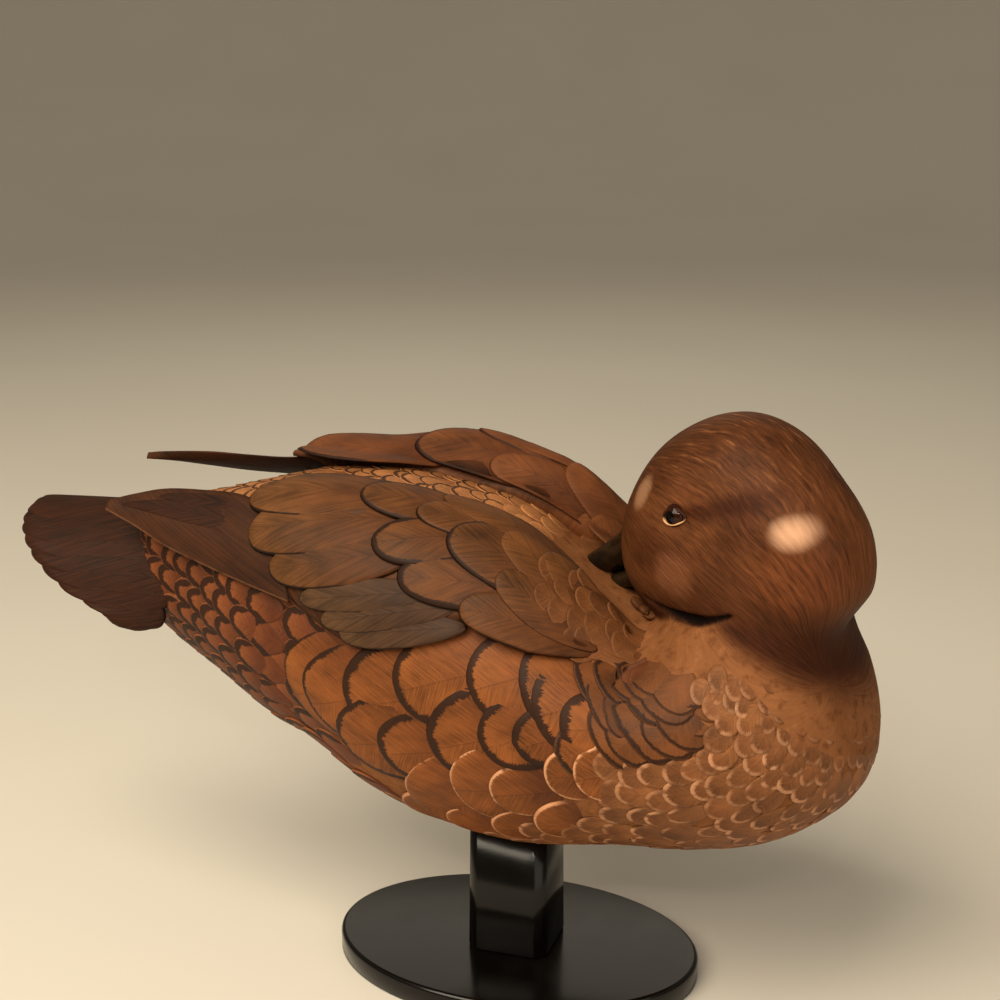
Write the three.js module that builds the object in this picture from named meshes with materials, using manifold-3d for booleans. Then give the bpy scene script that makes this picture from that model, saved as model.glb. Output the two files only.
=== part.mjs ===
// A carved and painted wooden duck decoy: a preening hen, life size, on a low black display stand.
// Millimetres, +X towards the breast, +Y towards the bird's left, +Z up.
// The origin is the centre of the stand's underside, under the post's axis.
//
// The trunk and neck are one surface, body(s, psi). s runs along the lie of the feathers, from the neck over
// the breast and back to the tail. psi runs round the body in degrees: 0 is the middle of the belly, 180 the
// middle of the back, positive on the bird's left. Sections ahead of the hinge line fan round it, like the
// pages of an open book; behind it they stand upright and move back along X.
// The wings are thick shells laid on that surface. The head is a second surface, turned to face the tail.
import * as THREE from "three";
import { mergeVertices } from "three/addons/utils/BufferGeometryUtils.js";
import Module from "manifold-3d";

const wasm = await Module();
wasm.setup();

const DEG = Math.PI / 180;
const GAP = 0.3; // clearance between every two neighbours
const RAISE = 20; // the bird's own heights below are counted from a level this much above the floor

// Rows of [s, belly, back, half width, widest]. Belly, back and widest are distances from the hinge line,
// measured towards the belly, so the back is negative where it stands above the hinge line.
const HINGE = { x: 56, z: 163 };
const FAN_LENGTH = 100; // s at the last fanned section
const FAN_START = 14 * DEG; // how far the first section, inside the head, looks up
const BODY_ROWS = [
  [0, 62, 16, 33, 40],
  [13, 66, 16, 35, 42],
  [28, 75.5, 16, 40, 46],
  [34, 79.5, 16, 44, 49],
  [40, 90, 16, 49, 52],
  [50, 108.5, 16, 57, 58],
  [56, 115.5, 16, 61, 60],
  [62, 118.5, 16, 64, 61],
  [75, 119, 17, 68, 61],
  [87, 116.5, 20, 70, 60],
  [100, 115.5, 22, 71, 59],
  [116, 118, 15, 71.5, 58],
  [133, 121, 4, 71.5, 56],
  [150, 122, -7, 71, 54],
  [170, 119.5, -14, 69, 52],
  [190, 115, -18, 66, 49],
  [208, 107.5, -20, 62, 45],
  [232, 92.5, -19, 55, 38],
  [248, 87, -15.5, 50, 34],
  [276, 71, -8, 38, 27],
  [301, 57, -2, 27, 22],
  [313, 46, 0, 20, 20],
  [328, 27, 6, 11, 16],
];
const BODY_FULLNESS = 2.05; // superellipse exponent of a section; 2 would be an ellipse
const NECK_LEAN = { sideways: -12, length: 50 }; // the neck leans to the bird's right to meet the head
const NECK_CUT = -30 * DEG; // the plane through the hinge line that parts neck from trunk

// Rows of [distance ahead of the head's centre, crown, throat, half width], heights above the centre.
const HEAD = { x: 89.5, y: -17, z: 174, turn: 25.5 * DEG, sweep: 0.13, soft: 12 };
const HEAD_ROWS = [
  [-50, -4, -12, 6],
  [-47.5, 7, -20, 12],
  [-40.5, 18.5, -29, 19.5],
  [-30.5, 29.5, -37.5, 23.5],
  [-18.5, 39.5, -43.5, 27],
  [-4.5, 44, -45.5, 29.5],
  [8, 43, -44.5, 29.5],
  [21, 37.5, -41, 29],
  [33.5, 27.5, -35, 25],
  [42.5, 13, -27, 18],
  [46.5, 2, -17, 9],
];
const HEAD_FULLNESS = 2.1;
const EYE = { ahead: 12, up: 10, radius: 4.8, proud: 1.6 };

// Rows of [distance from the bill's root, upper edge, lower edge, half width], along the bill's own axis.
const BILL = { ahead: 37, up: -11, drop: 26 * DEG, swing: -5 * DEG, gape: -5.5, lowerWidth: 0.86 };
const BILL_ROWS = [
  [0, 18, -15, 12.5],
  [8, 14, -14.5, 11.5],
  [18, 9.5, -12.5, 10],
  [28, 6.5, -9.5, 10.2],
  [36, 4.5, -7, 9.6],
  [40, 1, -5.5, 6],
];
const BILL_FULLNESS = 2.6;

// Rows of [s, psi of the lower edge, psi of the upper edge, lift at the lower edge, lift on the flat of the
// wing, lift at its crest, lift at the upper edge]. Lifts are heights over the body's surface.
const WING_RIGHT_ROWS = [
  [101, 143, 153, 1, 2.5, 2.5, 2],
  [112, 138, 160, 2, 4.5, 5, 3],
  [130, 132, 165, 3.5, 7.5, 8, 4.5],
  [150, 126, 167, 4.5, 8, 8.5, 5],
  [166, 120, 167, 5, 8, 8, 5],
  [180, 113, 166, 5, 8, 8, 5],
  [194, 107, 166, 5, 8, 8, 5],
  [207, 105, 166, 5.5, 8, 8, 5],
  [220, 108, 165, 5.5, 8, 7, 4.5],
  [232, 113, 163, 5.5, 8, 6.5, 4.5],
  [243, 120, 162, 5.5, 7.5, 6, 4.5],
  [251, 129, 160, 5.5, 6.5, 5.5, 4.5],
  [257, 139, 155, 5, 5.5, 5.5, 4.5],
];
const WING_LEFT_ROWS = [
  [101, 140, 154, 1, 4, 6, 4],
  [112, 134, 162, 2.5, 8, 12, 6],
  [123, 130, 167, 3.5, 9, 16, 6],
  [142, 125, 171, 4.5, 10.5, 19, 5],
  [165, 118, 172, 5, 11, 19.5, 4],
  [182, 112, 172, 5, 11, 19.5, 4],
  [197, 107, 172, 5, 11, 18, 4],
  [214, 108, 172, 5.5, 11, 13.5, 4],
  [232, 115, 172, 6, 10.5, 13, 5],
  [242, 126, 170, 7, 11, 13.5, 7.5],
  [250, 137, 167, 8, 11.5, 13.5, 9.5],
  [256, 147, 162, 9, 11.5, 13, 11.5],
];
const LIFT_PLACES = [0, 0.4, 0.78, 1]; // where the four lifts lie, as shares of the way across the wing
const WING_DEPTH = 4; // how far a wing's inner face lies below the body's surface before it is cut back
const WING_OVERHANG = { from: 232, to: 248, thickness: 4.5 }; // the raised left wing's free rear end

// Flight feathers that show behind each wing: points [x, y, z] along a blade's upper and lower edge.
const BLADE = { thickness: 3, camber: 0.1 };
const BLADE_RIGHT = {
  upper: [
    [-80, -36, 170],
    [-101, -29, 175.5],
    [-118, -26, 175.5],
    [-137, -25, 174.5],
    [-151, -26, 171.5],
    [-162, -27.5, 168.5],
  ],
  lower: [
    [-72, -56, 144],
    [-91, -50.5, 147],
    [-108, -45.5, 150],
    [-131, -39, 155],
    [-148, -33.5, 160.5],
    [-162.5, -30, 165],
  ],
};
const BLADE_LEFT = {
  upper: [
    [-84, 22, 182],
    [-106, 22, 179],
    [-124, 22, 178.5],
    [-143, 22.5, 178.5],
    [-163, 23, 177],
    [-173, 24, 175.5],
  ],
  lower: [
    [-84, 37, 170.5],
    [-106, 35, 169],
    [-128, 32, 169.5],
    [-147, 29.5, 171],
    [-163, 27, 172.5],
    [-173.5, 25.5, 173.5],
  ],
};

// The tail is an arched fan. Rows of [share of the way from the middle feather to the outer one, root x,
// tip x].
const TAIL = {
  top: 163,
  fall: 0.05,
  halfWidth: 36,
  drop: 41,
  rootWidth: 0.86,
  rootDrop: 1.12,
  thickness: 3,
};
const TAIL_ROWS = [
  [0, -128, -213],
  [0.35, -130, -210],
  [0.6, -132, -200.5],
  [0.8, -135, -187],
  [0.92, -138, -175],
  [1, -140, -164],
];

const POST = { width: 32, depth: 32, chamfer: 4, spread: 1.04, top: 60 };
const BASE = { length: 150, width: 104, height: 9, chamfer: 1.6 };

const point = (x, y, z) => new THREE.Vector3(x, y, z);

// Evenly spaced values, both ends included.
const steps = (count, from, to) =>
  Array.from({ length: count + 1 }, (_, i) => from + ((to - from) * i) / count);

// Angles in degrees once round a closed section.
const round = (count) => Array.from({ length: count }, (_, i) => (360 * i) / count);

// The column's value at s, on a smooth curve through the table's rows.
function at(rows, s, column) {
  const last = rows.length - 1;
  let i = 0;
  while (i < last - 1 && s > rows[i + 1][0]) i++;
  const slope = (k) => {
    const before = rows[Math.max(k - 1, 0)];
    const after = rows[Math.min(k + 1, last)];
    return (after[column] - before[column]) / (after[0] - before[0]);
  };
  const length = rows[i + 1][0] - rows[i][0];
  const t = Math.min(Math.max((s - rows[i][0]) / length, 0), 1);
  return (
    (2 * t ** 3 - 3 * t ** 2 + 1) * rows[i][column] +
    (t ** 3 - 2 * t ** 2 + t) * length * slope(i) +
    (3 * t ** 2 - 2 * t ** 3) * rows[i + 1][column] +
    (t ** 3 - t ** 2) * length * slope(i + 1)
  );
}

// Turns a circle's sine or cosine into a superellipse's.
const fuller = (value, fullness) => Math.sign(value) * Math.abs(value) ** (2 / fullness);

function body(s, psi) {
  const fan = FAN_START - (Math.min(s, FAN_LENGTH) / FAN_LENGTH) * (FAN_START + Math.PI / 2);
  const belly = at(BODY_ROWS, s, 1);
  const back = at(BODY_ROWS, s, 2);
  const widest = at(BODY_ROWS, s, 4);
  const down = fuller(Math.cos(psi * DEG), BODY_FULLNESS);
  const radius = widest + (down < 0 ? widest - back : belly - widest) * down;
  const lean = NECK_LEAN.sideways * (1 - THREE.MathUtils.smoothstep(s, 0, NECK_LEAN.length));
  return point(
    HINGE.x - Math.max(s - FAN_LENGTH, 0) + radius * Math.cos(fan),
    at(BODY_ROWS, s, 3) * fuller(Math.sin(psi * DEG), BODY_FULLNESS) + lean,
    HINGE.z + radius * Math.sin(fan),
  );
}

// A point at a height over the body, along its outward normal.
function overBody(s, psi, height) {
  const along = body(s + 1, psi).sub(body(s - 1, psi));
  const across = body(s, psi + 1).sub(body(s, psi - 1));
  return body(s, psi).addScaledVector(along.cross(across).normalize(), height);
}

// A point of the head, from distances ahead (towards the bill), to the head's own left, and up.
function inHead(ahead, left, up) {
  return point(
    HEAD.x - ahead * Math.cos(HEAD.turn) - left * Math.sin(HEAD.turn),
    HEAD.y + ahead * Math.sin(HEAD.turn) - left * Math.cos(HEAD.turn),
    HEAD.z + up,
  );
}

// How far the head's sections lie back at a distance from its middle plane.
const swept = (left) => HEAD.sweep * (Math.hypot(left, HEAD.soft) - HEAD.soft);

function volume(geometry) {
  const { position } = geometry.attributes;
  const corners = geometry.index.array;
  const [a, b, c] = [0, 0, 0].map(() => new THREE.Vector3());
  let sum = 0;
  for (let i = 0; i < corners.length; i += 3) {
    a.fromBufferAttribute(position, corners[i]);
    b.fromBufferAttribute(position, corners[i + 1]);
    c.fromBufferAttribute(position, corners[i + 2]);
    sum += a.dot(b.cross(c)) / 6;
  }
  return sum;
}

// A closed mesh through rings of points. A round ring is closed by a fan to its middle. The ring of a thin
// shell, whose points run out along one face and back along the other, is closed by a strip between them.
function loft(rings, thin = false) {
  const count = rings[0].length;
  const points = rings.flat();
  const faces = [];
  for (let i = 0; i < rings.length - 1; i++)
    for (let j = 0; j < count; j++) {
      const here = i * count + j;
      const next = i * count + ((j + 1) % count);
      faces.push([here, next, here + count], [next, next + count, here + count]);
    }
  const end = (rings.length - 1) * count;
  if (thin)
    for (let j = 0; j < count / 2 - 1; j++) {
      const back = count - 1 - j;
      faces.push([back, j + 1, j], [back, back - 1, j + 1]);
      faces.push([end + j, end + j + 1, end + back], [end + j + 1, end + back - 1, end + back]);
    }
  else {
    const middle = (ring) => ring.reduce((sum, p) => sum.add(p), point(0, 0, 0)).divideScalar(count);
    const first = points.push(middle(rings[0])) - 1;
    const last = points.push(middle(rings.at(-1))) - 1;
    for (let j = 0; j < count; j++) {
      const next = (j + 1) % count;
      faces.push([first, next, j], [last, end + j, end + next]);
    }
  }
  const geometry = new THREE.BufferGeometry().setFromPoints(points);
  geometry.setIndex(faces.flat());
  if (volume(geometry) < 0) geometry.setIndex(faces.map((f) => f.reverse()).flat());
  return geometry;
}

// The mesh as a solid that can be joined and cut.
function solid(geometry) {
  const bare = new THREE.BufferGeometry();
  bare.setAttribute("position", geometry.getAttribute("position"));
  bare.setIndex(geometry.index);
  const merged = mergeVertices(bare, 1e-4);
  return new wasm.Manifold(
    new wasm.Mesh({
      numProp: 3,
      vertProperties: merged.getAttribute("position").array,
      triVerts: new Uint32Array(merged.index.array),
    }),
  );
}

// The same solid with every point moved out along its normal, which cuts a gap into a neighbour. The solid
// itself is joined on, because a point on a sharp edge moves out less than the faces beside it.
function grown(geometry) {
  const wide = geometry.clone();
  wide.computeVertexNormals();
  const { position, normal } = wide.attributes;
  const [p, n] = [new THREE.Vector3(), new THREE.Vector3()];
  for (let i = 0; i < position.count; i++) {
    p.fromBufferAttribute(position, i).addScaledVector(n.fromBufferAttribute(normal, i), GAP);
    position.setXYZ(i, p.x, p.y, p.z);
  }
  return solid(wide).add(solid(geometry));
}

const BODY_RINGS = 34;
const BODY_SIDES = 32;
const bodyShape = loft(
  steps(BODY_RINGS, 0, BODY_ROWS.at(-1)[0]).map((s) => round(BODY_SIDES).map((psi) => body(s, psi))),
);

// The wedge ahead of the hinge line and above the neck cut, its two faces moved out by margin.
function neckWedge(margin) {
  const SIZE = 400;
  const above = new THREE.BoxGeometry(SIZE, SIZE, SIZE);
  above.translate(0, 0, SIZE / 2 - margin);
  above.rotateY(-NECK_CUT);
  above.translate(HINGE.x, 0, HINGE.z);
  const ahead = new THREE.BoxGeometry(SIZE, SIZE, SIZE);
  ahead.translate(HINGE.x + SIZE / 2 - margin, 0, HINGE.z);
  return solid(above).intersect(solid(ahead));
}

// Rings crowd towards both ends of the head, where it rounds off.
const HEAD_RINGS = 18;
const HEAD_SIDES = 24;
const headShape = loft(
  steps(HEAD_RINGS, 0, 180).map((a) => {
    const [first, last] = [HEAD_ROWS[0][0], HEAD_ROWS.at(-1)[0]];
    const ahead = (first + last) / 2 - ((last - first) / 2) * Math.cos(a * DEG);
    const crown = at(HEAD_ROWS, ahead, 1);
    const throat = at(HEAD_ROWS, ahead, 2);
    return round(HEAD_SIDES).map((spin) => {
      const left = at(HEAD_ROWS, ahead, 3) * fuller(Math.sin(spin * DEG), HEAD_FULLNESS);
      const rise = ((crown - throat) / 2) * fuller(Math.cos(spin * DEG), HEAD_FULLNESS);
      return inHead(ahead - swept(left), left, (crown + throat) / 2 + rise);
    });
  }),
);

// One mandible, above or below the gape.
function mandible(lower) {
  const SIDES = 16;
  const RINGS = 9;
  const THINNEST = 1;
  return loft(
    steps(RINGS, 0, BILL_ROWS.at(-1)[0]).map((d) => {
      const floor = lower ? Math.min(at(BILL_ROWS, d, 2), BILL.gape - GAP - THINNEST) : BILL.gape;
      const roof = lower ? BILL.gape - GAP : Math.max(at(BILL_ROWS, d, 1), BILL.gape + THINNEST);
      const half = at(BILL_ROWS, d, 3) * (lower ? BILL.lowerWidth : 1);
      return round(SIDES).map((spin) =>
        inHead(
          BILL.ahead + d * Math.cos(BILL.drop) * Math.cos(BILL.swing),
          half * fuller(Math.sin(spin * DEG), BILL_FULLNESS) - d * Math.sin(BILL.swing),
          BILL.up - d * Math.sin(BILL.drop) + (roof + floor) / 2 +
            ((roof - floor) / 2) * fuller(Math.cos(spin * DEG), BILL_FULLNESS),
        ),
      );
    }),
  );
}

// side is 1 for the bird's left wing and -1 for its right one.
function wing(rows, side, overhang) {
  const ALONG = 18;
  const ACROSS = 8;
  return loft(
    steps(ALONG, rows[0][0], rows.at(-1)[0]).map((s) => {
      const lifts = LIFT_PLACES.map((place, k) => [place, at(rows, s, 3 + k)]);
      const free = overhang ? THREE.MathUtils.smoothstep(s, WING_OVERHANG.from, WING_OVERHANG.to) : 0;
      const face = (height) =>
        steps(ACROSS, 0, 1).map((share) => {
          const psi = at(rows, s, 1) + (at(rows, s, 2) - at(rows, s, 1)) * share;
          return overBody(s, side * psi, height(at(lifts, share, 1)));
        });
      const outer = face((lift) => lift);
      const inner = face((lift) => (lift - WING_OVERHANG.thickness) * free - WING_DEPTH * (1 - free));
      return [...outer, ...inner.reverse()];
    }),
    true,
  );
}

// A thin blade between its two edge curves, bulging a little outwards.
function blade({ upper, lower }, side) {
  const ALONG = 13;
  const ACROSS = 4;
  const curve = (edge) => new THREE.CatmullRomCurve3(edge.map((p) => point(...p)));
  const [top, bottom] = [curve(upper), curve(lower)];
  return loft(
    steps(ALONG, 0, 1).map((share) => {
      const from = bottom.getPoint(share);
      const across = top.getPoint(share).sub(from);
      const out = across.clone().cross(top.getTangent(share)).multiplyScalar(side).normalize();
      const face = (lift) =>
        steps(ACROSS, 0, 1).map((v) =>
          from
            .clone()
            .addScaledVector(across, v)
            .addScaledVector(out, lift + BLADE.camber * across.length() * Math.sin(v * Math.PI)),
        );
      return [...face(0), ...face(-BLADE.thickness).reverse()];
    }),
    true,
  );
}

// Rings run from the tail's right edge over the top to its left edge.
function tailFan() {
  const ACROSS = 18;
  const ALONG = 6;
  const inTail = (share, along, sink) => {
    const out = Math.abs(share);
    const root = at(TAIL_ROWS, out, 1);
    const tip = at(TAIL_ROWS, out, 2);
    const x = root + (tip - root) * along;
    const arch = 87 * DEG * share;
    const width = TAIL.halfWidth * (TAIL.rootWidth + (1 - TAIL.rootWidth) * along) - sink;
    const drop = TAIL.drop * (TAIL.rootDrop + (1 - TAIL.rootDrop) * along);
    const sag = drop * (1 - Math.cos(arch)) + sink * Math.cos(arch);
    return point(x, width * Math.sin(arch), TAIL.top + (x - root) * TAIL.fall - sag);
  };
  return loft(
    steps(ACROSS, -1, 1).map((share) => {
      const face = (sink) => steps(ALONG, 0, 1).map((along) => inTail(share, along, sink));
      return [...face(0), ...face(TAIL.thickness).reverse()];
    }),
    true,
  );
}

// side is 1 for the head's own left eye.
function eye(side, extra) {
  const half = at(HEAD_ROWS, EYE.ahead, 3);
  const crown = at(HEAD_ROWS, EYE.ahead, 1);
  const throat = at(HEAD_ROWS, EYE.ahead, 2);
  const height = (EYE.up - (crown + throat) / 2) / ((crown - throat) / 2);
  const surface = half * (1 - Math.abs(height) ** HEAD_FULLNESS) ** (1 / HEAD_FULLNESS);
  const centre = inHead(EYE.ahead - swept(surface), side * (surface - EYE.radius + EYE.proud), EYE.up);
  return solid(new THREE.SphereGeometry(EYE.radius + extra, 12, 8).translate(centre.x, centre.y, centre.z));
}

// A square post with chamfered corners, a little wider at its foot.
function post() {
  const { width, depth, chamfer } = POST;
  const quarter = [
    [width / 2, depth / 2 - chamfer],
    [width / 2 - chamfer, depth / 2],
  ];
  const back = quarter.map(([x, y]) => [-x, y]).reverse();
  const front = [...quarter, ...back].map(([x, y]) => [-x, -y]);
  const ring = (z, scale) => [...quarter, ...back, ...front].map(([x, y]) => point(x * scale, y * scale, z));
  return loft([ring(BASE.height + GAP - RAISE, POST.spread), ring(POST.top, 1)]);
}

// An oval foot with a chamfered upper edge.
function base() {
  const SIDES = 40;
  const ring = (height, inset) =>
    round(SIDES).map((a) =>
      point(
        (BASE.length / 2 - inset) * Math.cos(a * DEG),
        (BASE.width / 2 - inset) * Math.sin(a * DEG),
        height - RAISE,
      ),
    );
  return loft([ring(0, 0), ring(BASE.height - BASE.chamfer, 0), ring(BASE.height, BASE.chamfer)]);
}

const billUpper = mandible(false);
const billLower = mandible(true);
const bladeRight = blade(BLADE_RIGHT, -1);
const bladeLeft = blade(BLADE_LEFT, 1);
const tail = tailFan();

const bodyGap = grown(bodyShape);
const headGap = grown(headShape);
const billGap = grown(billUpper).add(grown(billLower));
const bladeGap = grown(bladeRight).add(grown(bladeLeft));
const eyeGap = eye(1, GAP).add(eye(-1, GAP));

const faceGap = headGap.add(billGap);
const bodySolid = solid(bodyShape).subtract(faceGap).subtract(bladeGap).subtract(grown(tail));
const wingSolid = (shape) => solid(shape).subtract(bodyGap).subtract(faceGap).subtract(bladeGap);

const pieces = {
  trunk: bodySolid.subtract(neckWedge(GAP)),
  neck: bodySolid.intersect(neckWedge(0)),
  head: solid(headShape).subtract(eyeGap),
  bill_upper: solid(billUpper).subtract(headGap),
  bill_lower: solid(billLower).subtract(headGap),
  eye_right: eye(-1, 0),
  eye_left: eye(1, 0),
  wing_right: wingSolid(wing(WING_RIGHT_ROWS, -1, false)),
  wing_left: wingSolid(wing(WING_LEFT_ROWS, 1, true)),
  primaries_right: solid(bladeRight),
  primaries_left: solid(bladeLeft),
  tail: solid(tail),
  stand_post: solid(post()).subtract(bodyGap),
  stand_base: solid(base()),
};

// Paint of each piece; the ones not named are painted brown.
const PAINT = {
  brown: { color: 0x7a4a2a, roughness: 0.55, metalness: 0 },
  dark: { color: 0x4a3024, roughness: 0.55, metalness: 0 },
  horn: { color: 0x24221c, roughness: 0.35, metalness: 0 },
  glass: { color: 0x1c0c08, roughness: 0.05, metalness: 0 },
  black: { color: 0x0e0c0b, roughness: 0.25, metalness: 0 },
};
const PAINTED = {
  bill_upper: "horn",
  bill_lower: "horn",
  eye_right: "glass",
  eye_left: "glass",
  primaries_right: "dark",
  primaries_left: "dark",
  tail: "dark",
  stand_post: "black",
  stand_base: "black",
};

const decoy = new THREE.Group();
for (const [name, piece] of Object.entries(pieces)) {
  const { vertProperties, triVerts } = piece.getMesh();
  const geometry = new THREE.BufferGeometry();
  geometry.setAttribute("position", new THREE.BufferAttribute(vertProperties, 3));
  geometry.setIndex(new THREE.BufferAttribute(triVerts, 1));
  geometry.translate(0, 0, RAISE);
  const mesh = new THREE.Mesh(geometry, new THREE.MeshStandardMaterial(PAINT[PAINTED[name] ?? "brown"]));
  mesh.name = name;
  decoy.add(mesh);
}

export default decoy;
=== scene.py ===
"""A carved and painted wooden decoy of a preening hen duck, on a low black stand.

Shapes are worked out in millimetres, in the frame of the CAD model: +X towards the breast, +Y towards the
bird's left and +Z up. Every mesh is made in metres. Feathers are closed vanes laid on the carved surface.
"""

import bpy
import numpy as np
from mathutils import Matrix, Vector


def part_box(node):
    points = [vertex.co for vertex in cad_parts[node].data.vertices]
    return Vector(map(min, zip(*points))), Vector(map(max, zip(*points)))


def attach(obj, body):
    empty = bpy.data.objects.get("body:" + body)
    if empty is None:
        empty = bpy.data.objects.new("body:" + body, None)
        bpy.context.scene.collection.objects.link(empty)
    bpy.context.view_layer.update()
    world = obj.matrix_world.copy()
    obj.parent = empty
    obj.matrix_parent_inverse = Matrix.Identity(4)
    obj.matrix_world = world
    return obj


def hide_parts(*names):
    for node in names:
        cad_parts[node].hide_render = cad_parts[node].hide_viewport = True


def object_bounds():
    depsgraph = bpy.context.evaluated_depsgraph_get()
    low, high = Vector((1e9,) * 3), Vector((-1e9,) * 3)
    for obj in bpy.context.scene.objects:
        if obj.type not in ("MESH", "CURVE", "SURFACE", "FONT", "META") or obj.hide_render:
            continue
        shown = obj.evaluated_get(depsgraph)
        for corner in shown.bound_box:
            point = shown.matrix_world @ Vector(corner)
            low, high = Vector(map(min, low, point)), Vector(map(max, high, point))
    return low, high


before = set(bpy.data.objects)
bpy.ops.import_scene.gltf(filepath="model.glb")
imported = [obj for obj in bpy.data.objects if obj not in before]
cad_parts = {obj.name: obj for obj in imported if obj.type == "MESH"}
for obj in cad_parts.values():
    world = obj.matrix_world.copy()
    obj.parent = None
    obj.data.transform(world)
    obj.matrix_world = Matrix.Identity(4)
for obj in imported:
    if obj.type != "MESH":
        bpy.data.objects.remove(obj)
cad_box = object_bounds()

MM = 0.001
SEED = 7

# ---------------------------------------------------------------- the carved forms, as the solids have them

RAISE = 20.0  # height of the level that the bird's own heights are counted from
HINGE_X, HINGE_Z = 56.0, 163.0 + RAISE
FAN_LENGTH = 100.0
FAN_START = np.radians(14)
BODY_END = 328.0
# Rows of s, belly, back, half width, widest: distances from the hinge line.
BODY_ROWS = np.array([
    [0, 62, 16, 33, 40],
    [13, 66, 16, 35, 42],
    [28, 75.5, 16, 40, 46],
    [34, 79.5, 16, 44, 49],
    [40, 90, 16, 49, 52],
    [50, 108.5, 16, 57, 58],
    [56, 115.5, 16, 61, 60],
    [62, 118.5, 16, 64, 61],
    [75, 119, 17, 68, 61],
    [87, 116.5, 20, 70, 60],
    [100, 115.5, 22, 71, 59],
    [116, 118, 15, 71.5, 58],
    [133, 121, 4, 71.5, 56],
    [150, 122, -7, 71, 54],
    [170, 119.5, -14, 69, 52],
    [190, 115, -18, 66, 49],
    [208, 107.5, -20, 62, 45],
    [232, 92.5, -19, 55, 38],
    [248, 87, -15.5, 50, 34],
    [276, 71, -8, 38, 27],
    [301, 57, -2, 27, 22],
    [313, 46, 0, 20, 20],
    [328, 27, 6, 11, 16],
])
BODY_FULLNESS = 2.05
NECK_LEAN, NECK_LENGTH = -12.0, 50.0

HEAD_X, HEAD_Y, HEAD_Z = 89.5, -17.0, 174.0 + RAISE
HEAD_TURN = np.radians(25.5)
HEAD_SWEEP, SWEEP_SOFT = 0.13, 12.0  # the head's sections are swept back towards its sides
# Rows of distance ahead of the head's centre, crown, throat, half width.
HEAD_ROWS = np.array([
    [-50, -4, -12, 6],
    [-47.5, 7, -20, 12],
    [-40.5, 18.5, -29, 19.5],
    [-30.5, 29.5, -37.5, 23.5],
    [-18.5, 39.5, -43.5, 27],
    [-4.5, 44, -45.5, 29.5],
    [8, 43, -44.5, 29.5],
    [21, 37.5, -41, 29],
    [33.5, 27.5, -35, 25],
    [42.5, 13, -27, 18],
    [46.5, 2, -17, 9],
])
HEAD_FULLNESS = 2.1
EYE_AHEAD, EYE_UP, EYE_RADIUS, EYE_PROUD = 12.0, 10.0, 4.8, 1.6

BILL_AHEAD, BILL_UP, BILL_GAPE, BILL_LENGTH = 37.0, -11.0, -5.5, 40.0
BILL_DROP, BILL_SWING = np.radians(26), np.radians(-5)
# Rows of distance from the bill's root, upper edge, lower edge, half width.
BILL_ROWS = np.array([
    [0, 18, -15, 12.5],
    [8, 14, -14.5, 11.5],
    [18, 9.5, -12.5, 10],
    [28, 6.5, -9.5, 10.2],
    [36, 4.5, -7, 9.6],
    [40, 1, -5.5, 6],
])
BILL_FULLNESS = 2.6

# Rows of s, psi of the lower edge, psi of the upper edge, and four lifts across the wing.
WING_RIGHT_ROWS = np.array([
    [101, 143, 153, 1, 2.5, 2.5, 2],
    [112, 138, 160, 2, 4.5, 5, 3],
    [130, 132, 165, 3.5, 7.5, 8, 4.5],
    [150, 126, 167, 4.5, 8, 8.5, 5],
    [166, 120, 167, 5, 8, 8, 5],
    [180, 113, 166, 5, 8, 8, 5],
    [194, 107, 166, 5, 8, 8, 5],
    [207, 105, 166, 5.5, 8, 8, 5],
    [220, 108, 165, 5.5, 8, 7, 4.5],
    [232, 113, 163, 5.5, 8, 6.5, 4.5],
    [243, 120, 162, 5.5, 7.5, 6, 4.5],
    [251, 129, 160, 5.5, 6.5, 5.5, 4.5],
    [257, 139, 155, 5, 5.5, 5.5, 4.5],
])
WING_LEFT_ROWS = np.array([
    [101, 140, 154, 1, 4, 6, 4],
    [112, 134, 162, 2.5, 8, 12, 6],
    [123, 130, 167, 3.5, 9, 16, 6],
    [142, 125, 171, 4.5, 10.5, 19, 5],
    [165, 118, 172, 5, 11, 19.5, 4],
    [182, 112, 172, 5, 11, 19.5, 4],
    [197, 107, 172, 5, 11, 18, 4],
    [214, 108, 172, 5.5, 11, 13.5, 4],
    [232, 115, 172, 6, 10.5, 13, 5],
    [242, 126, 170, 7, 11, 13.5, 7.5],
    [250, 137, 167, 8, 11.5, 13.5, 9.5],
    [256, 147, 162, 9, 11.5, 13, 11.5],
])
LIFT_PLACES = (0, 0.4, 0.78, 1)
OVERHANG_FROM, OVERHANG_TO = 232.0, 248.0

# Points along each folded wing tip's upper and lower edge, from the root.
TIP_RIGHT_UPPER = np.array([
    [-80, -36, 170], [-101, -29, 175.5], [-118, -26, 175.5], [-137, -25, 174.5], [-151, -26, 171.5],
    [-162, -27.5, 168.5],
])
TIP_RIGHT_LOWER = np.array([
    [-72, -56, 144], [-91, -50.5, 147], [-108, -45.5, 150], [-131, -39, 155], [-148, -33.5, 160.5],
    [-162.5, -30, 165],
])
TIP_LEFT_UPPER = np.array([
    [-84, 22, 182], [-106, 22, 179], [-124, 22, 178.5], [-143, 22.5, 178.5], [-163, 23, 177],
    [-173, 24, 175.5],
])
TIP_LEFT_LOWER = np.array([
    [-84, 37, 170.5], [-106, 35, 169], [-128, 32, 169.5], [-147, 29.5, 171], [-163, 27, 172.5],
    [-173.5, 25.5, 173.5],
])
TIP_CAMBER = 0.1

TAIL_TOP, TAIL_FALL, TAIL_HALF_WIDTH, TAIL_DROP = 163.0 + RAISE, 0.05, 36.0, 41.0
TAIL_ROOT_WIDTH, TAIL_ROOT_DROP, TAIL_ARCH = 0.86, 1.12, 87.0
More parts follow.
